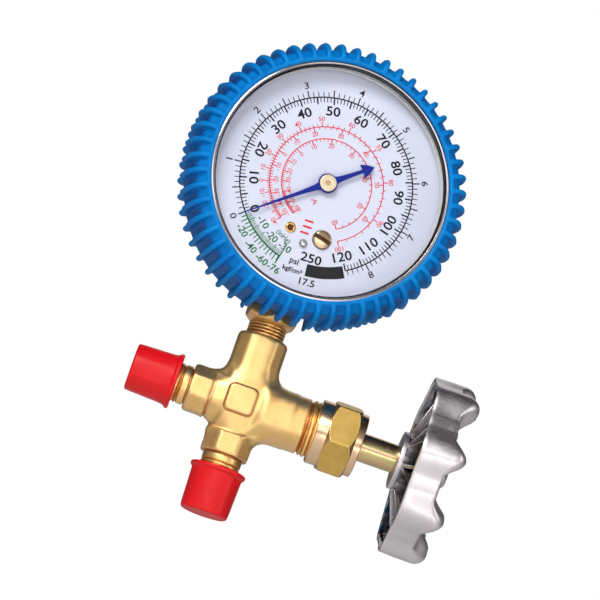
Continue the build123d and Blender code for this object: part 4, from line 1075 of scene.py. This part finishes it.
RI = Ink()
sa_t = [-40, -20, -10, 0, 10, 20, 30, 40, 50, 60, 70, 80, 90, 100]
sa_a = [-146.0, -129.8, -119.1, -108.1, -96.2, -82.4, -65.0, -45.5, -23.5, 4.0, 34.6, 67.2, 105.9, 150.0]
sb_t = [-50, -40, -30, -20, -10, 0, 10, 20, 30, 40, 50, 60]
sb_a = [-145.0, -133.0, -120.7, -107.1, -91.5, -75.7, -54.9, -32.3, -2.6, 32.0, 69.4, 111.5]
sc_t = [-80, -60, -40, -30, -20, -10, 0, 10, 20, 30, 40, 50, 60]
sc_a = [-151.0, -136.0, -120.9, -107.1, -93.9, -79.1, -60.5, -38.0, -12.2, 21.0, 61.1, 101.8, 149.0]
RI.arc(16.1, -146.0, 150.2, 0.26)
RI.arc(12.75, -151.0, 149.0, 0.26)


def scale(ts, as_, r, dr, step, size, rl, skip=()):
    t = ts[0]
    while t <= ts[-1] + 1e-6:
        a = float(np.interp(t, ts, as_))
        big = abs(t / 10 - round(t / 10)) < 1e-6
        RI.tick(a, r, r + dr * (1.3 if big else 0.7), 0.28 if big else 0.2)
        t += step
    for t in ts:
        if t in skip:
            continue
        a = float(np.interp(t, ts, as_))
        RI.along(str(t), rl, a, size, True, 0.98, 0.004)


scale(sa_t, sa_a, 16.1, 1.1, 2, 1.35, 18.35)
scale(sb_t, sb_a, 16.1, -1.1, 2, 1.3, 14.25)
scale(sc_t, sc_a, 12.75, -1.1, 2, 1.3, 10.85)
RI.text("°F", -1.8, -6.1, 1.6, 2.0, 0.95, 0.012)
# three plain bars where a key stands
for x, y in ((-1.2, -11.6), (-1.2, -13.3), (-1.4, -15.1)):
    c = np.array([x, y])
    q = math.radians(3.0)
    R2 = np.array([[math.cos(q), -math.sin(q)], [math.sin(q), math.cos(q)]])
    RI.poly([c + R2 @ np.array(v) for v in ((-1.25, -0.26), (1.25, -0.26), (1.25, 0.26), (-1.25, 0.26))])
RI.make("dial_print_red", M["ink_red"])

# ------------------------------------------------------------------ pointer
hp = 16.2
ang = math.radians(220.0 - 90.0)


def ptr(x, y, h):
    """Pointer plan: y along the needle. Its rest direction is 220 degrees."""
    c, s = math.cos(ang), math.sin(ang)
    return dialP(x * c - y * s, x * s + y * c, h)


def ngon_rounded(poly, h0, h1, b, place3):
    """Plate of a plan polygon with a small bevel round its top and bottom edges."""
    P = np.asarray(poly, float)
    k = len(P)
    nrm = np.zeros_like(P)
    for i in range(k):
        a, c2 = P[i - 1], P[(i + 1) % k]
        t = c2 - a
        t = t / max(np.linalg.norm(t), 1e-9)
        nrm[i] = (t[1], -t[0])
    area = 0.5 * np.sum(P[:, 0] * np.roll(P[:, 1], -1) - np.roll(P[:, 0], -1) * P[:, 1])
    if area < 0:
        nrm = -nrm
    lv = [(h0, b), (h0 + b, 0), (h1 - b, 0), (h1, b)]
    V = np.concatenate([place3((P - nrm * g)[:, 0], (P - nrm * g)[:, 1], np.full(k, h)) for h, g in lv])
    F = [tuple(range(k)), tuple(range(4 * k - 1, 3 * k - 1, -1))]
    for i in range(3):
        F += [(i * k + j, (i + 1) * k + j, (i + 1) * k + (j + 1) % k, i * k + (j + 1) % k) for j in range(k)]
    return V, outward(V, F)


def disc_line(r, a0, a1, n):
    return [(r * math.cos(t), r * math.sin(t)) for t in np.radians(np.linspace(a0, a1, n))]


# needle from the ring to the tip, then the tail with its arrow-shaped counterweight
pts = [(0.14, 25.3), (-0.14, 25.3), (-0.55, 8.0), (-0.82, 3.6), (-1.15, 2.50)]
pts += disc_line(2.75, 116, 244, 26)
pts += [(-0.95, -3.0), (-0.78, -4.2), (-0.58, -7.5), (-0.50, -10.7), (-1.95, -10.45), (-1.6, -11.6), (-0.95, -12.9), (0.0, -14.2)]
pts += [(0.95, -12.9), (1.6, -11.6), (1.95, -10.45), (0.50, -10.7), (0.58, -7.5), (0.78, -4.2), (0.95, -3.0)]
pts += disc_line(2.75, -64, 64, 26)
pts += [(1.15, 2.50), (0.82, 3.6), (0.55, 8.0)]
V, F = ngon_rounded(pts, 16.08, 16.42, 0.09, ptr)
mk("pointer_needle", V, F, M["blue"], "pointer_shaft", ["pointer"], sharp=40)
prof = rounded([(16.3, 0.0), (16.3, 2.2), (16.62, 2.36), (16.95, 2.3), (17.02, 1.9), (17.02, 0.72), (16.8, 0.62), (16.8, 0.0)], [0, 0.1, 0.1, 0.12, 0.08, 0.08, 0.05, 0], 4)
V, F, rows = rev(prof, 72, place_g)
hubp, nth, hb = new_mat("pointer_hub_cream")
vv = coords(nth)
colh = mix(nth, mapr(nth, noise(nth, vv, 500, 3.0), 0.35, 0.7, 0, 1), (0.78, 0.62, 0.42), (0.86, 0.74, 0.54))
nth.links.new(colh, hb.inputs["Base Color"])
hb.inputs["Metallic"].default_value = 0.35
nth.links.new(mapr(nth, noise(nth, vv, 1600, 3.0), 0.3, 0.7, 0.32, 0.45), hb.inputs["Roughness"])
mk("pointer_boss", V, outward(V, F), hubp, "pointer_shaft", ["pointer_hub"], sharp=40)
prof = rounded([(15.0, 0.0), (15.0, 0.5), (17.1, 0.5), (17.2, 0.4), (17.2, 0.18), (17.05, 0.0)], [0, 0.05, 0.12, 0.08, 0.05, 0], 4)
V, F, rows = rev(prof, 40, place_g)
mk("pinion_tip", V, outward(V, F), M["bronze"], "pointer_shaft", ["pointer_hub"], sharp=50)

# ------------------------------------------------------------------ small dial fittings
# calibration screw head with its slot
n = 72
t = np.linspace(0, 2 * math.pi, n, endpoint=False)
sl = math.radians(-12.0)


def slotted(cx, cy, R, h0, top, sw, sd, name, mat, body, rep):
    """Domed screw head with a straight slot, as one closed mesh on a polar grid refined at the slot."""
    # square grid mapped to the disc, columns set at the slot's edges
    c = np.array([-1.0, -0.9, -0.75, -0.6, -0.45, -0.32, -sw / R - 0.03, -sw / R, sw / R, sw / R + 0.03, 0.32, 0.45, 0.6, 0.75, 0.9, 1.0])
    d = np.linspace(-1, 1, 29)
    top_v, low_v = [], []
    for y in c:
        lim = math.sqrt(max(1 - y * y, 0))
        for x in d:
            px, py = x * lim * R, y * R
            rr = math.hypot(px, py) / R
            h = top - 0.55 * (1 - math.sqrt(max(1 - 0.82 * rr * rr, 0)))
            if rr > 0.93:
                h -= (rr - 0.93) * 1.6
            if abs(y) <= sw / R + 1e-9:
                h = top - sd
            q = (cx + px * math.cos(sl) - py * math.sin(sl), cy + px * math.sin(sl) + py * math.cos(sl))
            top_v.append((q[0], q[1], h))
            low_v.append((q[0], q[1], h0))
    tv, lv = np.array(top_v), np.array(low_v)
    a, b = len(c), len(d)
    V = np.concatenate([dialP(tv[:, 0], tv[:, 1], tv[:, 2]), dialP(lv[:, 0], lv[:, 1], lv[:, 2])])
    N0 = a * b
    F = []
    for i in range(a - 1):
        for j in range(b - 1):
            q = (i * b + j, i * b + j + 1, (i + 1) * b + j + 1, (i + 1) * b + j)
            F.append(q)
            F.append(tuple(x + N0 for x in reversed(q)))
    for i in range(a - 1):
        for j in (0, b - 1):
            q = (i * b + j, (i + 1) * b + j, (i + 1) * b + j + N0, i * b + j + N0)
            F.append(q if j == 0 else tuple(reversed(q)))
    floor_i = {i * b + j for i in range(a) if abs(c[i]) <= sw / R + 1e-9 for j in range(b)}
    slot_m = metal("slot_shadow", (0.10, 0.055, 0.03), (0.06, 0.035, 0.02), (0.4, 0.5), 2400, (1, 1, 1), 0.05)
    o = mk(name, V, F, None, body, [rep], sharp=32, mats=[mat, slot_m], fmat=[1 if all(q in floor_i for q in f) else 0 for f in F])
    import bmesh
    bm = bmesh.new()
    bm.from_mesh(o.data)
    bmesh.ops.remove_doubles(bm, verts=bm.verts, dist=2e-7)
    bmesh.ops.dissolve_degenerate(bm, edges=bm.edges, dist=1e-7)
    bmesh.ops.recalc_face_normals(bm, faces=bm.faces)
    bm.to_mesh(o.data)
    bm.free()
    o.data.set_sharp_from_angle(angle=math.radians(32))
    return o


slotted(3.8, -15.2, 2.55, 14.6, 16.15, 0.52, 0.95, "calibration_screw_head", M["collar"], "calibrator", "calibration_screw")


def shifted(x, y):
    def f(a, r, tt):
        return dialP(x + r * np.cos(tt), y + r * np.sin(tt), a)
    return f


prof = rounded([(12.3, 0.0), (12.3, 1.0), (14.92, 1.0), (14.95, 1.5), (15.2, 1.5), (15.42, 1.15), (15.42, 0.95), (15.1, 0.74), (14.5, 0.70), (14.5, 0.0)], [0, 0.05, 0.03, 0.1, 0.12, 0.12, 0.1, 0.1, 0.1, 0], 4)
V, F, rows = rev(prof, 56, shifted(-5.6, -15.1))
eye_m = metal("eyelet_gold", (0.95, 0.62, 0.22), (0.85, 0.48, 0.14), (0.14, 0.22), 2400, (1, 1, 1), 0.05)
lacquer = plastic("sealing_lacquer", (0.10, 0.012, 0.006), (0.06, 0.008, 0.004), (0.2, 0.3), 900, 0.1, 0.4)
Fo = outward(V, F)
ex = np.hypot(V[:, 0] * CP + V[:, 1] * SP + 5.6, V[:, 2] - GZ + 15.1)
eh = V[:, 0] * SP - V[:, 1] * CP
mk("dial_eyelet_ring", V, Fo, None, "body", ["dial_eyelet"], sharp=50, mats=[eye_m, lacquer],
   fmat=[1 if ex[list(f)].max() < 0.73 and eh[list(f)].min() > 14.3 and eh[list(f)].max() < 15.0 else 0 for f in Fo])
prof = rounded([(11.2, 0.0), (11.2, 0.68), (14.95, 0.68), (14.98, 1.18), (15.4, 1.18), (15.85, 0.7), (15.95, 0.0)], [0, 0.05, 0.03, 0.1, 0.3, 0.2, 0], 5)
V, F, rows = rev(prof, 48, shifted(-0.8, -18.1))
mk("stop_pin_head", V, outward(V, F), M["bright"], "body", ["stop_pin"], sharp=50)

# ------------------------------------------------------------------ the CAD nodes that stay, with finished materials
stay = {
    "packing_washer": "turned", "packing_rings": "ptfe", "packing_gland": "turned", "valve_stem": "zinc", "seat_holder": "turned", "seat_disc": "ptfe",
    "handwheel_washer": "bright", "handwheel_screw": "bright", "gauge_case": "case", "relief_plug": "black_rubber", "case_screws": "bright",
    "lens_gasket": "ptfe", "pinion": "turned", "sector_gear": "turned", "sector_arbor": "bright", "link_pin": "bright", "link": "turned",
    "movement_plates": "turned", "movement_pillars": "turned", "movement_screws": "bright", "hairspring": "bronze", "spring_collet": "turned",
    "bourdon_tube": "bronze", "tube_tip": "turned"}
width = {"valve_stem": 0.00018, "gauge_case": 0.0004, "handwheel_screw": 0.00018, "handwheel_washer": 0.0001, "case_screws": 0.00015, "relief_plug": 0.0002, "packing_gland": 0.0002}
for name, m in stay.items():
    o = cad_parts[name]
    o.data.materials.clear()
    o.data.materials.append(M[m])
    if name in width:
        b = o.modifiers.new("edge", "BEVEL")
        b.width, b.segments, b.limit_method, b.angle_limit = width[name], 2, "ANGLE", math.radians(35)

# ------------------------------------------------------------------ stage, lights, camera
wall = plastic("studio_floor", (0.86, 0.86, 0.86), (0.84, 0.84, 0.84), (0.6, 0.7), 40, 0.02, 0.2)
wall.node_tree.nodes["Principled BSDF"].inputs["Emission Color"].default_value = (1.0, 1.0, 1.0, 1.0)
wall.node_tree.nodes["Principled BSDF"].inputs["Emission Strength"].default_value = 0.20
s = 3.0
fl = bpy.data.meshes.new("floor")
xs = np.linspace(-s, s, 25)
vv = [(x, y, -0.26) for y in xs for x in xs]
ff = [(j * 25 + i, j * 25 + i + 1, (j + 1) * 25 + i + 1, (j + 1) * 25 + i) for j in range(24) for i in range(24)]
fl.from_pydata(vv, [], ff)
fl.materials.append(wall)
floor = bpy.data.objects.new("floor", fl)
COL.objects.link(floor)


def light(name, loc, target, size, power, color=(1, 1, 1), shape="RECTANGLE", size_y=None):
    ld = bpy.data.lights.new(name, "AREA")
    ld.shape = shape
    ld.size = size
    ld.size_y = size_y or size
    ld.energy = power
    ld.color = color
    o = bpy.data.objects.new(name, ld)
    COL.objects.link(o)
    o.location = loc
    d = Vector(target) - Vector(loc)
    o.rotation_euler = d.to_track_quat("-Z", "Y").to_euler()
    return o


T0 = (0.0, 0.0, 0.035)
light("key", (-0.38, -0.70, 0.48), T0, 0.50, 6.2, size_y=0.34)
light("front", (0.02, -0.98, 0.10), T0, 0.9, 1.5, size_y=0.26)
light("right", (0.78, -0.42, 0.26), T0, 0.30, 1.3, size_y=0.6)
light("low", (0.20, -0.55, -0.22), T0, 0.7, 0.7, size_y=0.12)
light("back", (0.1, 0.8, 0.6), T0, 0.6, 0.9)

w = bpy.data.worlds.new("studio")
bpy.context.scene.world = w
w.use_nodes = True
nt = w.node_tree
nt.nodes.clear()
out = nt.nodes.new("ShaderNodeOutputWorld")
bg1 = nt.nodes.new("ShaderNodeBackground")
bg2 = nt.nodes.new("ShaderNodeBackground")
mx = nt.nodes.new("ShaderNodeMixShader")
lp = nt.nodes.new("ShaderNodeLightPath")
tc = nt.nodes.new("ShaderNodeTexCoord")
sep = nt.nodes.new("ShaderNodeSeparateXYZ")
nt.links.new(tc.outputs["Generated"], sep.inputs[0])
# brighter ahead of the object, darker overhead and behind
yy = mapr(nt, sep.outputs["Y"], -1.0, 0.6, 0.50, 0.10)
zz = mapr(nt, sep.outputs["Z"], 0.25, 0.9, 1.0, 0.10)
mm = nt.nodes.new("ShaderNodeMath")
mm.operation = "MULTIPLY"
nt.links.new(yy, mm.inputs[0])
nt.links.new(zz, mm.inputs[1])
nt.links.new(mm.outputs[0], bg1.inputs["Strength"])
bg1.inputs["Color"].default_value = (1.0, 1.0, 1.0, 1)
bg2.inputs["Color"].default_value = (1.0, 1.0, 1.0, 1)
bg2.inputs["Strength"].default_value = 1.0
nt.links.new(lp.outputs["Is Camera Ray"], mx.inputs[0])
nt.links.new(bg1.outputs[0], mx.inputs[1])
nt.links.new(bg2.outputs[0], mx.inputs[2])
nt.links.new(mx.outputs[0], out.inputs["Surface"])

cam = bpy.data.cameras.new("camera")
cam.sensor_width = 36.0
cam.lens = 2720.57 * 36.0 / 600.0
cam.clip_start, cam.clip_end = 0.01, 20.0
co = bpy.data.objects.new("camera", cam)
COL.objects.link(co)
right = Vector((0.94155, -0.10444, 0.32029))
up = Vector((-0.33495, -0.18852, 0.92318))
back = right.cross(up)
up = back.cross(right)
co.matrix_world = Matrix(((right.x, up.x, back.x, -0.02134), (right.y, up.y, back.y, -0.73880), (right.z, up.z, back.z, -0.12738), (0, 0, 0, 1)))
bpy.context.scene.camera = co
bpy.context.scene.view_settings.view_transform = "Standard"
bpy.context.scene.view_settings.look = "None"

bpy.context.view_layer.update()
